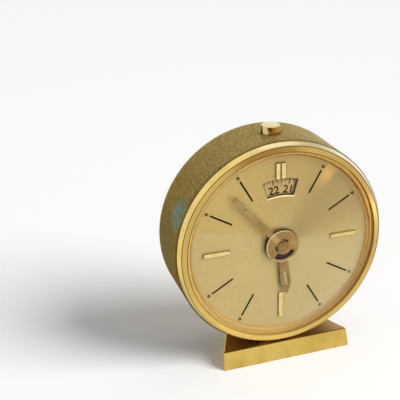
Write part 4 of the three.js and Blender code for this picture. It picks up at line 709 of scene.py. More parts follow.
def hand_gold():
    """The hands: matt rose gold with brown painted shade on their edges, painted light and shade
    on the minute blade and the hour hub, and a pale painted highlight on part of the hub's rim.
    """
    finish = Finish("hand_rose", metallic=0.9, roughness=0.34)
    x, y, z = finish.axes()
    radius = off_axis(x, z)
    tone = finish.noise(0.35)
    base = finish.blend(tone.over(0.3, 0.7), (166, 135, 83), (149, 118, 68))
    minute_back = MINUTE_FRONT + HAND_THICKNESS
    minute = y.under(minute_back + 0.04, minute_back + 0.06)
    blade_side = y.over(MINUTE_FRONT + 0.01, MINUTE_FRONT + 0.03) * minute
    hour_side = y.over(HOUR_FRONT + 0.01, HOUR_FRONT + 0.03)
    # Painted shade: brown on the blades' chamfered edges.
    edges = radius.over(5.25, 5.3) * (blade_side + hour_side)
    sine, cosine = heading_point(1, MINUTE_HEADING)
    across = (x * cosine - z * sine).size()
    along = x * sine + z * cosine
    # Painted light: the minute blade is lighter where it crosses the hub, between brown lines of
    # painted shade along its edges.
    off_hub = radius.over(4.9, 5)
    on_hub = minute * (1 - off_hub) * along.over(1.9, 2.1)
    blade_crease_shade = finish.ring(across, 1, 0.16) * on_hub
    front = y.under(MINUTE_FRONT + 0.14, MINUTE_FRONT + 0.2)
    # Painted highlight: a pale line on the minute hub's rim at the upper left and below.
    lit = (z * 0.8 - x).over(0, 2.5) + (z * -1 - 3.4).over(0, 0.8)
    rim = finish.ring(radius, 5.08, 0.2) * front * lit.over(0, 1)
    rings = finish.noise(1.6, 3, 0.7, finish.vector(radius, 0, 0))
    # Painted shade on the hour hub's rim, which shows under the minute hub.
    hub_rim_shade = off_hub * (1 - minute) * radius.under(5.6, 5.7)
    boss = radius.under(0.2, 0.45) * front
    # Painted light: the minute blade is lighter towards its tip.
    base = base.coats(
        (minute * along.over(9, 20) * 0.45, 190, 160, 104),
        (edges * 0.85, 112, 76, 34),
        (on_hub * across.under(0.9, 1) * 0.5, 206, 176, 120),
        (blade_crease_shade * 0.6, 124, 92, 48),
        (rim * 0.85, 236, 218, 180),
        (rings.over(0.45, 0.7) * 0.3, 120, 92, 52),
        (hub_rim_shade * 0.8, 128, 100, 70),
        (boss * 0.6, 206, 142, 96))
    return finish.wear(base, finish.noise(1.8, 3, 0.7), 0.14, 0.28, 0.012, 0.35)


def champagne_dial():
    """The dial: champagne gilt with a fine sunray brush that runs out from the middle, with
    painted reflections, painted shade and a painted highlight.
    """
    finish = Finish("champagne_dial", metallic=0.4, roughness=0.42)
    x, y, z = finish.axes()
    radius = off_axis(x, z)
    along_x = x / radius
    along_z = z / radius
    streaks = finish.noise(30, 2, 0.7, finish.vector(along_x, along_z, 0))
    grain = finish.noise(1.7, 3, 0.7)
    cloud = finish.noise(0.09)
    # Painted reflection: the sunray brush's light and dark sectors, lighter on the left, darker
    # above a step and at the upper right.
    step = z + x * 0.165 - 3.8
    left = along_x.under(-0.75, 0.15)
    upper = step.over(-0.8, 0.8) * left + step.over(-7, 12) * (1 - left)
    right_upper = along_x.over(0.2, 0.75) * along_z.over(-0.1, 0.5)
    base = finish.blend(along_x.over(-0.8, 0.6), (193, 171, 114), (183, 165, 114))
    # Painted reflection: a peach streak near one o'clock.
    peach_reflection = (along_x * 0.815 - along_z * 0.579).size().under(0.02, 0.12)
    peach_reflection = peach_reflection * along_z.over(0.5, 0.7) * radius.over(20, 26.5)
    # Painted shade near the dial's rim, under the bezel.
    edge = radius.over(SIGHT_RADIUS - 1.1, SIGHT_RADIUS)
    bevel = y.over(DIAL_FRONT + 0.01, DIAL_FRONT + 0.03)
    # Painted shade: the window's walls are dark brown.
    recess_shade = y.over(
        DIAL_FRONT + WINDOW_BEVEL * 0.4, DIAL_FRONT + WINDOW_BEVEL * 0.6)
    # Painted highlight on the window's lower bevelled lip.
    lip = radius.under(WINDOW_INNER + 0.05, WINDOW_INNER + 0.15)
    base = base.coats(
        (upper * 0.9, 178, 150, 88),
        (upper * left * 0.7, 199, 172, 102),
        (right_upper * 0.75, 146, 126, 82),
        (peach_reflection * 0.6, 230, 182, 100),
        (grain.over(0.3, 0.7) * 0.2, 146, 118, 62),
        (streaks.over(0.35, 0.7) * 0.07, 150, 126, 78),
        (cloud.over(0.45, 0.7) * 0.15, 176, 146, 88),
        (edge * 0.45, 186, 150, 88),
        (finish.specks(0.33, 0.07) * 0.5, 96, 76, 44),
        (bevel * lip * radius.over(10, 12), 250, 236, 174),
        (recess_shade, 66, 44, 18))
    finish.bump(grain * 0.7 + streaks * 0.3, 0.012, 0.35)
    return finish.paint(Base_Color=base, Roughness=streaks * 0.12 + 0.38 - bevel * 0.2)


def index_gold():
    """The batons: bright pale gold, with brown in the shade of their left and upper edges."""
    finish = Finish("index_gold", metallic=1, roughness=0.16)
    x, y, z = finish.axes()
    lying = x.size().over(9, 10)
    left_twelve, right_twelve = TWELVE_SHIFTS["left"], TWELVE_SHIFTS["right"]
    middle = x.over(-0.18, -0.12) * (right_twelve - left_twelve) + left_twelve
    middle = z.over(0, 1) * middle
    across = lying * z - (1 - lying) * (x - middle)
    front = DIAL_FRONT - BATON_HEIGHT
    edge = across.over(-0.2, 0.2) * y.over(front + 0.02, front + 0.06)
    side = y.over(front + BATON_EDGE - 0.02, front + BATON_EDGE + 0.02)
    worn = finish.noise(0.5)
    # Painted shade: brown on the left and upper chamfers and on all the side walls, and the 3
    # o'clock baton painted darker.
    base = finish.blend(worn.over(0.3, 0.7), (236, 216, 152), (224, 200, 132)).coats(
        (x.over(9, 10), 208, 184, 118),
        (edge * 0.9, 150, 112, 44),
        (side * 0.9, 140, 102, 40))
    return finish.wear(base, finish.noise(1.8, 3, 0.7), 0.1, 0.12)


def satin_metal(name, light, dark, roughness, metallic=1):
    """A plain worked metal with uneven tone and a fine grain."""
    finish = Finish(name, metallic=metallic, roughness=roughness)
    cloud = finish.noise(0.4)
    grain = finish.noise(4.8, 2, vector=finish.place((0.3, 1, 1)))
    base = finish.blend(cloud.over(0.3, 0.75), light, dark)
    return finish.wear(base, grain, 0.15, roughness - 0.06)


def cover_gold():
    """The back cover, brushed in circles, as a lathe leaves it."""
    finish = Finish("cover_gold", metallic=1, roughness=0.34)
    x, y, z = finish.axes()
    rings = finish.noise(2.2, 3, 0.7, finish.vector(off_axis(x, z), 0, 0))
    cloud = finish.noise(0.1)
    base = finish.blend(rings * 0.45 + cloud * 0.45, (220, 192, 122), (178, 146, 84))
    marks = finish.noise(0.9, 4, 0.7)
    base = base.coat(marks.over(0.66, 0.78) * 0.4, 120, 92, 46)
    return finish.wear(base, rings, 0.2, 0.26, 0.02, 0.35)


def matt_paint(name, light, dark, roughness=0.6):
    """Printed or painted colour with a faint mottling."""
    finish = Finish(name, metallic=0, roughness=roughness, Specular_IOR_Level=0.05)
    mottle = finish.noise(1.8)
    base = finish.blend(mottle.over(0.3, 0.7), light, dark)
    return finish.wear(base, mottle, 0.1, roughness - 0.05, 0.01, 0.2)


def clear_crystal():
    """The domed crystal: clear and glossy, with a denser rim where it is held, painted gold for
    the gold bezel that shows in it, and a thin dark line.
    """
    finish = Finish("clear_crystal", metallic=1, roughness=0.03)
    x, y, z = finish.axes()
    radius = off_axis(x, z)
    mirror = finish.node("ShaderNodeFresnel", {}, {"IOR": 1.45})
    gloss = (mirror - 0.034) * 0.1
    smears = finish.noise(0.12).over(0.55, 0.8)
    # Painted reflection: the rim is tinted gold; a thin dark brown line is painted at 29.15 mm.
    rim = radius.over(29.1, 29.2)
    line = finish.ring(radius, 29.15, 0.14)
    alpha = gloss + smears * 0.003 + rim * 0.04 + line * 0.3 + 0.001
    base = finish.blend(rim, (250, 246, 232), (236, 206, 136))
    base = base.coat(line, 150, 108, 44)
    return finish.paint(Base_Color=base, Alpha=alpha)


FINISHES = {
    "case": grained_gold(),
    "bezel": bezel_gold(),
    "button": button_gold(),
    "foot": foot_gold(),
    "cover": cover_gold(),
    "crystal": clear_crystal(),
    "dial": champagne_dial(),
    "index": index_gold(),
    "disc": matt_paint("disc_beige", (182, 156, 108), (166, 140, 94)),
    "ink": matt_paint("numeral_brown", (74, 50, 28), (54, 36, 18)),
    "line": matt_paint("line_black", (22, 14, 6), (12, 8, 4), 0.8),
    "lume_dot": matt_paint("aged_dot", (122, 98, 46), (64, 52, 24), 0.8),
    "lume": matt_paint("aged_lume", (162, 142, 100), (148, 126, 84), 0.7),
    "hand": hand_gold(),
    "washer": satin_metal("washer_black", (38, 30, 18), (24, 18, 10), 0.4, 0.2),
    "brass": satin_metal("movement_brass", (224, 190, 112), (190, 152, 78), 0.3),
    "key": key_brass(),
    "steel": satin_metal("screw_steel", (206, 206, 206), (150, 152, 156), 0.26),
    "blued": satin_metal("blued_steel", (66, 84, 130), (36, 46, 82), 0.24),
    "lead_in": matt_paint("pointer_dark", (104, 78, 30), (84, 60, 22), 0.5),
}


def settle(piece, body, finish, slot, *nodes):
    """Gives a piece its finish and its body, and hides the nodes that it stands for."""
    piece.data.materials.clear()
    piece.data.materials.append(FINISHES[finish].material)
    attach(piece, body)
    if nodes:
        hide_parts(*nodes)
    return piece


# Case

def build_band():
    profile = [
        (BAND_BORE, BEZEL_BACK), *around(BAND_RADIUS, BEZEL_BACK, (-0.15, 0), (0, 0.15)),
        *around(BAND_RADIUS, BAND_GROOVE, (0, -0.08), (-0.1, 0), (0, 0.1)),
        *arc(BAND_RADIUS - BAND_ROUNDING, BAND_BACK - BAND_ROUNDING, BAND_ROUNDING, 15, 6),
        *around(BAND_BORE, BAND_BACK, (0.1, 0), (0, -0.1)),
        *around(BAND_BORE, COVER_FRONT, (0, 0), (-1.6, 0), (-1.6, -0.8), (0, -0.8)),
        (BAND_BORE, BEZEL_BACK),
    ]
    band = turned("case_wall", profile, 192)
    button_hole = rod(BUTTON_RADIUS + CLEARANCE, 60, 80)
    tools = [turned_upright("tool", button_hole, (0, BUTTON_Y), 48)]
    for place in FOOT_SCREWS:
        tools.append(turned_upright("tool", rod(FOOT_SCREW_BORE, 2, 12), place, 32))
    settle(cut(band, *tools), "case", "case", "case_brass", "case_band")


def build_bezel():
    profile = [
        (LIP_RADIUS, CRYSTAL_SEAT),
        *around(LIP_RADIUS, LIP_FRONT, (0, 0.1), (0.04, 0.03), (0.12, 0)),
        *around(BEZEL_FRONT_RADIUS, BEZEL_FRONT, (-0.45, -0.02), (-0.24, 0.01),
                (-0.18, 0.06), (-0.12, 0.06), (0, 0.03), (0.08, 0.1)),
        *around(BEZEL_BACK_RADIUS, BEZEL_BACK, (-0.12, -0.35), (-0.05, -0.1), (-0.18, 0)),
        *around(BAND_BORE, BEZEL_BACK, (-0.15, 0), (-0.15, 1.6), (-0.7, 1.6)),
        (BAND_BORE - 0.7, DIAL_FRONT),
        *around(SIGHT_RADIUS, DIAL_FRONT, (0, 0), (0, -0.12), (0.12, -0.2)),
        *around(LIP_RADIUS, CRYSTAL_SEAT, (-0.92, 0.04), (-0.85, 0), (0, 0)),
    ]
    settle(turned("bezel_ring", profile, 224), "case", "bezel", "bezel_gold", "bezel")


def build_crystal():
    rim = LIP_RADIUS - 0.05
    inner_rim = rim - CRYSTAL_THICKNESS
    seat = CRYSTAL_SEAT - 0.03
    steps = 18
    shares = [i / steps for i in range(steps + 1)]
    drops = [CRYSTAL_RISE * (1 - share * share) for share in shares]
    outer = [(rim * share, CRYSTAL_RIM - drop) for share, drop in zip(shares, drops)]
    inner = [
        (inner_rim * share, min(CRYSTAL_RIM + CRYSTAL_THICKNESS - drop, seat))
        for share, drop in zip(shares[:-1], drops)]
    profile = outer + [(rim, seat), (inner_rim, seat)] + inner[::-1]
    crystal = turned("crystal_dome", profile, 128)
    settle(crystal, "case", "crystal", "crystal_clear", "crystal")


def window_tool():
    """The alarm window's cutter: straight at the back and opening out over its bevel."""
    sight = sector_outline(WINDOW_INNER, WINDOW_OUTER, WINDOW_START, WINDOW_END, 16)
    mouth = sector_outline(
        WINDOW_INNER - 0.75, WINDOW_OUTER + 0.3, WINDOW_START - 1.1, WINDOW_END + 1.1, 16)
    layers = [
        (sight, DIAL_BACK + 0.5), (sight, DIAL_FRONT + WINDOW_BEVEL),
        (mouth, DIAL_FRONT - 0.001), (mouth, DIAL_FRONT - 0.4),
    ]
    ends = (layers[0][1], layers[-1][1])
    loops = []
    for outline, y in layers:
        loops.append(draw_loop("tool", [at(x, y, z) for x, z in outline]))
        if y in ends:
            bpy.ops.mesh.edge_face_add()
        bpy.ops.object.mode_set(mode="OBJECT")
    tool = join_pieces("tool", loops)
    bpy.ops.object.mode_set(mode="EDIT")
    for (_, back), (_, front) in zip(layers, layers[1:]):
        select_where(tool, "edges", lambda edge: lies_at(edge, back) or lies_at(edge, front))
        bpy.ops.mesh.bridge_edge_loops()
    return close_mesh(tool)


def lies_at(edge, depth):
    """Whether an edge lies wholly at one depth along Y."""
    return all(abs(vertex.co.y - depth * MM) < MERGE_DISTANCE for vertex in edge.verts)


def build_dial():
    plate = cut_out("dial_face", circle_outline(DIAL_RADIUS, 192), DIAL_FRONT, DIAL_BACK)
    cut(plate, window_tool(), turned("tool", rod(DIAL_BORE, FAR_FRONT, -6), 64))
    foot = around(0, DIAL_BACK, (0, -0.25), (0.6, -0.25), (0.6, 1.8), (0.5, 1.925), (0, 1.925))
    feet = [
        turned("tool", foot, 24, heading_point(DIAL_RADIUS - 3.2, heading))
        for heading in DIAL_FOOT_HEADINGS]
    settle(shade(join_solids(plate, *feet)), "case", "dial", "dial_champagne", "dial_plate")


def build_dial_marks():
    """Printed hour lines, the luminous dots outside them and the pointer between the batons."""
    front, back = DIAL_FRONT - PRINT_THICKNESS, DIAL_FRONT + PRINT_ROOT
    line = bar("tool", 0.27, 17.85, 25.7, front, back)
    profile = around(0, DIAL_FRONT, (0, 0.05), (0.55, 0.05), (0.55, -0.03), (0.42, -0.1),
                     (0.2, -0.13), (0, -0.14))
    dot = turned("tool", profile, 20, (0, 26.9))
    headings = [DEGREES_PER_HOUR * hour for hour in range(12) if hour % 3]
    lines = join_pieces("hour_lines", repeat(line, headings))
    settle(lines, "case", "line", "dial_champagne")
    dots = join_pieces("hour_dots", repeat(dot, headings))
    settle(dots, "case", "lume_dot", "dial_champagne")
    pointer = bar("alarm_pointer_line", 0.085, 18.9, 26.1, DIAL_FRONT - 0.04, back, shift=0.075)
    settle(pointer, "case", "lead_in", "dial_champagne")


def build_baton(hour, width, inner, outer, shift, label):
    """A raised hour baton, moved sideways by shift."""
    piece = bar(f"baton_{label}", width / 2, inner, outer, DIAL_FRONT - BATON_HEIGHT,
                DIAL_FRONT, DEGREES_PER_HOUR * hour, shift)
    soften_edges(piece, BATON_EDGE, 1)
    settle(piece, "case", "index", "index_gold", f"index_{label}")


def build_indexes():
    for hour, shift in ((3, -0.12), (6, 0), (9, 0.12)):
        build_baton(hour, 1.65, 16.2, 24.85, shift, hour)
    for side, shift in TWELVE_SHIFTS.items():
        build_baton(0, 1.6, 21.3, 26.6, shift, f"12_{side}")


def numeral(text, heading):
    """A printed number that stands on a circle about the axis."""
    bpy.ops.object.select_all(action="DESELECT")
    bpy.ops.object.text_add(location=(0, 0, 0))
    words = bpy.context.active_object.data
    words.body = text
    words.align_x = words.align_y = "CENTER"
    words.size = NUMERAL_HEIGHT * MM
    words.extrude = PRINT_THICKNESS / 2 * MM
    words.offset = 0.08 * MM
    words.resolution_u = 3
    bpy.ops.object.convert(target="MESH")
    piece = name_piece(bpy.context.active_object, "numeral")
    middle = at(0, ALARM_DISC_FRONT - PRINT_THICKNESS / 2, NUMERAL_CIRCLE)
    stand = Matrix.Translation(middle) @ Matrix.Rotation(math.pi / 2, 4, "X")
    return place_by(piece, about_axis(heading) @ stand)


def build_alarm_scale():
    """The alarm disc's printing: hours that rise anticlockwise and a line each quarter."""
    numbers = [
        numeral(str(hour), (ALARM_TIME - hour) * DEGREES_PER_ALARM_HOUR)
        for hour in range(1, 25)]
    settle(join_pieces("alarm_numbers", numbers), "alarm_disc", "ink", "disc_beige")
    front, back = ALARM_DISC_FRONT - PRINT_THICKNESS, ALARM_DISC_FRONT + PRINT_ROOT
    hour_tick = bar("tool", 0.15, 19.15, 21.9, front, back)
    quarter_tick = bar("tool", 0.1, 20.1, 21.9, front, back)
    headings = [(ALARM_TIME - quarter / 4) * DEGREES_PER_ALARM_HOUR for quarter in range(96)]
    ticks = repeat(hour_tick, headings[::4])
    ticks += repeat(quarter_tick, [heading for i, heading in enumerate(headings) if i % 4])
    settle(join_pieces("alarm_ticks", ticks), "alarm_disc", "ink", "disc_beige")


# Hands

def build_hour_hand():
    front = HOUR_FRONT
    back = front + HAND_THICKNESS
    outline = [(-1.4, 0), (1.4, 0), (1.7, 13.7), (0, 17), (-1.7, 13.7)]
    blade = cut_out("hour_blade", turn_outline(outline, HOUR_HEADING), front, back)
    join_solids(blade, cut_out("tool", circle_outline(HUB_RADIUS + 0.4, 96), front, back))
    bore = turned("tool", rod(HOUR_PIPE_BORE, FAR_FRONT, -8.9), 48)
    slot = bar("tool", 0.8, 8.7, 14, front - THROUGH, back + THROUGH, HOUR_HEADING)
    soften_edges(cut(blade, bore, slot), HAND_EDGE, 1)
    settle(blade, "hour_hands", "hand", "hand_rose", "hour_hand")
    fill = bar("hour_lume", 0.66, 8.84, 13.86, front + 0.03, back - 0.02, HOUR_HEADING)
    settle(soften_edges(fill, 0.04), "hour_hands", "lume", "hand_rose")
    inner = HOUR_PIPE_BORE
    profile = around(
        0, front, (inner, -0.2), (4.3, -0.2), (4.45, -0.12), (4.45, 0), (inner, 0), (inner, -0.2))
    washer = turned("hub_washer", profile, 96)
    settle(washer, "hour_hands", "washer", "washer_black", "hour_washer")


def crescent_outline():
    """The moon-shaped opening of the minute hand's hub, wider at one end."""
    start, sweep, steps = MINUTE_HEADING + 158, 100, 20
    shares = [i / steps for i in range(steps + 1)]
    outer = [heading_point(4.35, start + sweep * share) for share in shares]
    inner = [heading_point(3.05 - 0.55 * share, start + sweep * share) for share in shares]
    return outer + inner[::-1]


def build_minute_hand():
    front = MINUTE_FRONT
    back = front + HAND_THICKNESS
    heading = MINUTE_HEADING
    outline = [(-1.05, 0), (1.05, 0), (0.8, 23), (-0.8, 23)]
    blade = cut_out("minute_blade", turn_outline(outline, heading), front, back)
    rim = HUB_RADIUS + CLEARANCE
    hub = turned("tool", [
        (0, back), (rim - 0.1, back), (rim, back - 0.06), (rim, back - 0.12),
        (rim - 0.2, front + 0.1), (0, front + 0.1),
    ], 128)
    join_solids(blade, hub)
    openings = [
        crescent_outline(),
        sector_outline(1.8, 2.4, heading - 95, heading - 42, 10),
        sector_outline(1.8, 2.4, heading + 42, heading + 95, 10),
    ]
    tools = [cut_out("tool", opening, front - THROUGH, back + THROUGH) for opening in openings]
    slot = bar("tool", 0.42, 18.2, 22.6, front - THROUGH, back + THROUGH, heading)
    soften_edges(cut(blade, *tools, slot), HAND_EDGE, 1)
    settle(blade, "minute_hands", "hand", "hand_rose", "minute_hand")
    fill = bar("minute_lume", 0.24, 18.4, 22.4, front + 0.03, back - 0.02, heading)
    settle(soften_edges(fill, 0.03), "minute_hands", "lume", "hand_rose")
    profile = [(0, back), (1.55, back)] + around(
        0, front, (1.55, -0.45), (1.45, -0.58), (1.25, -0.6), (1.2, -0.52), (1.08, -0.52),
        (1.02, -0.66), (0.85, -0.78), (0.62, -0.8), (0.56, -0.68), (0.44, -0.68),
        (0.36, -0.82), (0.2, -0.89), (0, -0.9))
    settle(turned("hub_boss", profile, 64), "minute_hands", "hand", "hand_rose")


# Button, foot and back

def build_button():
    top = AXIS_HEIGHT + BAND_RADIUS + BUTTON_HEIGHT
    flange = FLANGE_TOP - 0.8
    profile = [
        (0, BUTTON_STEM_END), (1, BUTTON_STEM_END), (1, flange),
        (FLANGE_RADIUS, flange), (FLANGE_RADIUS, FLANGE_TOP),
        (BUTTON_RADIUS, FLANGE_TOP),
        *around(BUTTON_RADIUS, top, (0, -0.42), (-0.05, -0.25), (-0.17, -0.1), (-0.34, -0.03),
                (-0.6, 0)),
        (0, top),
    ]
    button = turned_upright("alarm_stop_cap", profile, (0, BUTTON_Y), 96)
    settle(button, "stop_button", "button", "bezel_gold", "stop_button")


def build_button_spring():
    """The button's return spring: a wire ring screwed upwards, which shortens under the button."""
    bpy.ops.object.select_all(action="DESELECT")
    bpy.ops.mesh.primitive_circle_add(
        vertices=8, radius=SPRING_WIRE * MM, location=mm(0, BUTTON_Y, SPRING_LOW),
        rotation=(math.pi / 2, 0, 0), enter_editmode=True)
    spring = name_piece(bpy.context.active_object, "button_spring")
    bpy.ops.transform.translate(value=(SPRING_RADIUS * MM, 0, 0))
    bpy.ops.object.mode_set(mode="OBJECT")
    bpy.ops.object.transform_apply(location=False, rotation=True, scale=True)
    apply_modifier(
        spring, "SCREW", axis="Z", screw_offset=(SPRING_HIGH - SPRING_LOW) / SPRING_TURNS * MM,
        iterations=SPRING_TURNS, steps=24, render_steps=24)
    freeze()
    bpy.ops.object.mode_set(mode="EDIT")
    bpy.ops.mesh.select_all(action="SELECT")
    bpy.ops.mesh.fill_holes(sides=0)
    settle(close_mesh(spring), "case", "steel", "steel", "stop_button_spring")
    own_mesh(spring)


def foot_plan():
    """Corners of the foot seen from above: it narrows to the back and sits slightly turned."""
    half = FOOT_WIDTH / 2
    back_half = half - FOOT_DEPTH * math.tan(FOOT_TAPER)
    corners = [(-half, 0), (half, 0), (back_half, FOOT_DEPTH), (-back_half, FOOT_DEPTH)]
    pivot = Vector((FOOT_SHIFT - half, FOOT_FRONT, 0))
    turn = Matrix.Rotation(FOOT_YAW, 3, "Z")
    return [(pivot + turn @ Vector((x + half, y, 0))) * MM for x, y in corners]


def build_foot():
    foot = prism("foot_block", foot_plan(), mm(0, 0, FOOT_HEIGHT))
    rake_front(foot)
    round_uprights(foot)
    close_mesh(foot)
    soften_edges(foot, 0.4, 4, clamp=False)
    saddle = rod(BAND_RADIUS + CLEARANCE, FOOT_FRONT + 2.3, FOOT_FRONT + FOOT_DEPTH + 3)
    tools = [turned("tool", saddle, 192)]
    bore = [
        (0, -1), (2.25, -1), (2.25, 0.8), (FOOT_SCREW_BORE, 1.95), (FOOT_SCREW_BORE, 9), (0, 9)]
    for place in FOOT_SCREWS:
        tools.append(turned_upright("tool", bore, place, 48))
    settle(cut(foot, *tools), "case", "foot", "foot_gold", "foot")


def rake_front(piece):
    """Sets the foot's upper front corners back and down and its ends in, so its faces lean."""
    front = FOOT_FRONT + 3
    bpy.ops.mesh.select_mode(type="VERT")
    select_where(piece, "verts", lambda v: v.co.z > MM and v.co.y < front * MM)
    bpy.ops.transform.translate(value=mm(0, FOOT_RAKE, -FOOT_DROP))
    select_where(piece, "verts", lambda v: v.co.z > MM)
    narrowing = 1 - 2 * FOOT_DRAFT / FOOT_WIDTH
    bpy.ops.transform.resize(value=(narrowing, 1, 1), center_override=(FOOT_SHIFT * MM, 0, 0))


def round_uprights(piece):
    """Rounds the upright edges of the piece that is open in edit mode."""
    def is_upright(edge):
        start, end = (vertex.co for vertex in edge.verts)
        return abs(end.z - start.z) > 0.9 * (end - start).length

    bpy.ops.mesh.select_mode(type="EDGE")
    select_where(piece, "edges", is_upright)
    bpy.ops.mesh.bevel(offset=MM, segments=5, affect="EDGES")
    bpy.ops.mesh.select_mode(type="VERT")


def build_foot_screws():
    profile = [
        (0, 0.55), (1.9, 0.55), (2.05, 0.62), (2.1, 0.8), (1, 1.8), (1, 7.9), (0.6, 8.3),
        (0, 8.3)]
    for i, (x, y) in enumerate(FOOT_SCREWS, 1):
        screw = turned_upright(f"countersunk_screw_{i}", profile, (x, y), 48)
        bpy.ops.mesh.primitive_cube_add(
            size=MM, location=mm(x, y, 0.5), scale=(6, 0.6, 1))
        slot = bpy.context.active_object
        pick(slot)
        freeze()
        settle(cut(screw, slot), "case", "steel", "steel", f"foot_screw_{i}")


def build_cover():
    profile = [
        (0, COVER_FRONT), (COVER_RADIUS, COVER_FRONT),
        *around(COVER_RADIUS, COVER_BACK, (0, -0.3), (-0.1, -0.1), (-0.3, 0)),
        *around(0, COVER_BACK, (29.2, 0), (29.1, -0.12), (28.8, -0.12), (28.7, 0), (0, 0)),
    ]
    cover = turned("back_cover", profile, 160)
    bores = [(1.5, place) for place in KEY_PLACES] + [(0.95, place) for place in KNOB_PLACES]
    bores += [(0.75, place) for place in cover_screw_places()]
    front, back = COVER_FRONT - THROUGH, COVER_BACK + THROUGH
    tools = [turned("tool", rod(radius, front, back), 40, place) for radius, place in bores]
    slot = sector_outline(
        REGULATOR_REACH - 0.8, REGULATOR_REACH + 0.8, REGULATOR_HEADING - 22,
        REGULATOR_HEADING + 22, 16)
    tools.append(cut_out("tool", slot, front, back, REGULATOR_CENTRE))
    for i in range(-3, 4):
        heading = REGULATOR_HEADING + 6 * i
        mark = sector_outline(
            REGULATOR_REACH + 1.1, REGULATOR_REACH + 2, heading - 0.7, heading + 0.7, 2)
        tools.append(cut_out("tool", mark, COVER_BACK - 0.12, back, REGULATOR_CENTRE))
    cut(cover, *tools)
    stud = [(0, 6.18), (0.9, 6.18), (1, 6.28), (1, 9.4), (0, 9.4)]
    join_solids(cover, turned("tool", stud, 32, hammer_stud()))
    settle(shade(cover), "case", "cover", "cover_gold", "rear_cover")


def hammer_stud():
    """Centre of the striking stud inside the cover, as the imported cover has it."""
    vertices = [v.co for v in frame["nodes"]["rear_cover"].data.vertices]
    tip = [v for v in vertices if v.y < (COVER_FRONT - 2.9) * MM]
    middle = sum(tip, Vector()) / len(tip) / MM
    return middle.x, middle.z - AXIS_HEIGHT


def cover_screw_places():
    return [heading_point(COVER_SCREW_CIRCLE, heading) for heading in COVER_SCREW_HEADINGS]


def build_cover_screws():
    profile = [(0, 7.6), (0.6, 7.6)] + around(
        0, COVER_BACK, (0.6, 0), (1.3, 0), (1.3, 0.6), (1.22, 0.75), (1.05, 0.8), (0, 0.8))
    for i, centre in enumerate(cover_screw_places(), 1):
        screw = turned(f"cheese_head_screw_{i}", profile, 40, centre)
        slot = bar("tool", 2, -0.17, 0.17, COVER_BACK + 0.45, COVER_BACK + 2, 35 * i - 15,
                   centre=centre)
        settle(cut(screw, slot), "case", "steel", "steel", f"cover_screw_{i}")


def key_wing(centre):
    """The two-lobed wing, drawn across the key and along its axis."""
    reach, lobe, low, thickness = 2.95, 2.3, 12.63, 1.2
    waist = [
        (reach * (1 - 2 * share), low + 2 * lobe - 0.8 * math.sin(math.pi * share))
        for share in (0.25, 0.5, 0.75)]
    outline = arc(reach, low + lobe, lobe, -90, 13) + waist
    outline += arc(-reach, low + lobe, lobe, 90, 13)
    points = [at(centre[0] + x, y, centre[1] - thickness / 2) for x, y in outline]
    return close_mesh(prism("tool", points, mm(0, 0, thickness)))


def build_keys():
    profile = around(0, KEY_FRONT, (0, 0), (2.1, 0), (2.2, 0.1), (2.2, 1.9), (2.05, 2.3),
                     (1.8, 2.6), (0, 2.6))
    for centre, train in zip(KEY_PLACES, ("alarm", "time")):
        hub = turned(f"{train}_key", profile, 64, centre)
        join_solids(hub, key_wing(centre))
        cut(hub, turned("tool", rod(1.25, SHAFT_FRONT, KEY_FRONT + 1.45), 32, centre))
        soften_edges(hub, 0.16, 3)
        settle(hub, f"{train}_winder", "key", "movement_brass", f"{train}_winding_key")


def build_knobs():
    outline = [
        heading_point(radius, (i + turn) * FULL_TURN / KNOB_FLUTES)
        for i in range(KNOB_FLUTES)
        for turn, radius in ((-0.3, 2.5), (-0.16, 2.7), (0.16, 2.7), (0.3, 2.5))]
    ring = around(0, KNOB_BACK, (2.35, 0.1), (4, 0.1), (4, -0.5), (2.8, -0.35), (2.35, 0.1))
    dish = around(0, KNOB_BACK, (0, -0.15), (1.3, -0.15), (1.7, 0.3), (0, 0.3))
    bore = rod(0.7, SHAFT_FRONT, KEY_FRONT + 1.5)
    for centre, train in zip(KNOB_PLACES, ("alarm", "hand")):
        knob = cut_out(f"{train}_knob", outline, KEY_FRONT, KNOB_BACK, centre)
        cuts = ((ring, 64), (dish, 48), (bore, 32))
        cut(knob, *[turned("tool", profile, steps, centre) for profile, steps in cuts])
        settle(knob, f"{train}_setting", "key", "movement_brass", f"{train}_setting_knob")


def finish_packed_nodes():
    """Every node that still shows gets the finish of its slot."""
    slot_finishes = {
        "movement_brass": "brass", "steel": "steel", "blued_steel": "blued",
        "disc_beige": "disc", "index_gold": "index", "washer_black": "washer",
    }
    slots = {part["node"]: part["material_slot"] for part in frame["record"]["subparts"]}
    for name, node in frame["nodes"].items():
        finish = slot_finishes.get(slots[name])
        if finish is None or node.hide_render:
            continue
        if not node.material_slots:
            node.data.materials.append(None)
        for material_slot in node.material_slots:
            material_slot.material = FINISHES[finish].material


# Room: floor, background, lamps and camera

def seen_ray(nodes):
    """1 for what the camera, a reflection or a clear piece sees directly."""
    camera, glossy, clear = [
        nodes.node("ShaderNodeLightPath", output=f"Is {kind} Ray")
        for kind in ("Camera", "Glossy", "Transmission")]
    return camera.larger(glossy).larger(clear)


def build_floor():
    floor = add_plane("floor", 6)
    finish = Finish("floor_white", metallic=0, roughness=0.9, Specular_IOR_Level=0,
                    Base_Color=(0.93, 0.93, 0.93, 1), Emission_Color=(1, 1, 1, 1))
    finish.paint(Emission_Strength=seen_ray(finish) * FLOOR_LIFT)
    floor.data.materials.append(finish.material)


def build_world():
    world = bpy.data.worlds.new("studio")
    bpy.context.scene.world = world
    world.use_nodes = True
    nodes = Nodes(world.node_tree)
    background = nodes.tree.nodes["Background"]
    mix = nodes.node("ShaderNodeMix", {}, {0: seen_ray(nodes), 2: ROOM_LEVEL, 3: 1})
    nodes.feed(background.inputs["Color"], (1, 1, 1, 1))
    nodes.feed(background.inputs["Strength"], mix)


def aim(thing, target):
    direction = Vector(target) - thing.location
    thing.rotation_euler = direction.to_track_quat("-Z", "Y").to_euler()


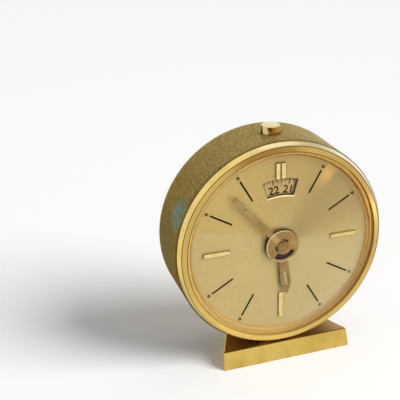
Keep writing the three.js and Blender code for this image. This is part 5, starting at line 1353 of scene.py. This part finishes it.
def build_lamps():
    for name, place, size, power, shines in LAMPS:
        bpy.ops.object.light_add(type="AREA", location=place)
        lamp = bpy.context.active_object
        lamp.name = name
        lamp.data.shape = "DISK"
        lamp.data.size = size
        lamp.data.energy = power
        lamp.visible_camera = False
        lamp.visible_glossy = shines
        aim(lamp, (0, 0, AXIS_HEIGHT * MM))
    bpy.ops.object.light_add(type="SUN", location=(0.6, -0.6, 0.8))
    sun = bpy.context.active_object
    sun.name = "side_light"
    sun.data.energy = SUN_STRENGTH
    sun.data.angle = SUN_SPREAD
    sun.visible_glossy = False
    aim(sun, Vector(sun.location) - Vector(SUN_FROM))


def build_card():
    """A grey card that only the metal's reflections show, as a studio sets beside a clock."""
    card = add_plane("left_card", 1, CARD_PLACE)
    card.scale = (CARD_WIDTH, CARD_HEIGHT, 1)
    for kind in ("camera", "diffuse", "shadow", "transmission"):
        setattr(card, f"visible_{kind}", False)
    finish = Finish("left_card", metallic=0, roughness=0.5, Specular_IOR_Level=0,
                    Base_Color=(0, 0, 0, 1), Emission_Strength=1,
                    Emission_Color=(CARD_LEVEL, CARD_LEVEL, CARD_LEVEL * 0.9, 1))
    card.data.materials.append(finish.material)


def build_camera():
    """The photograph's camera, fitted to the drum's two ellipses and the foot."""
    right = Vector((0.954273, -0.297565, -0.028593))
    up = Vector((0.139843, 0.359828, 0.922479))
    back = Vector((-0.264209, -0.884296, 0.384986))
    place = mm(-93.53, -238.03, 156.61)
    bpy.ops.object.camera_add(location=place)
    camera = bpy.context.active_object
    rotation = Matrix((right, up, back)).transposed()
    camera.matrix_world = Matrix.Translation(place) @ rotation.to_4x4()
    camera.data.sensor_width = 36
    camera.data.lens = 80.87
    camera.data.clip_start = 0.01
    camera.data.dof.use_dof = False
    bpy.context.scene.camera = camera


build_band()
build_bezel()
build_crystal()
build_dial()
build_dial_marks()
build_indexes()
build_alarm_scale()
build_hour_hand()
build_minute_hand()
build_button()
build_button_spring()
build_foot()
build_foot_screws()
build_cover()
build_cover_screws()
build_keys()
build_knobs()
finish_packed_nodes()
build_floor()
build_world()
build_lamps()
build_card()
build_camera()

scene = bpy.context.scene
scene.view_settings.view_transform = "Standard"
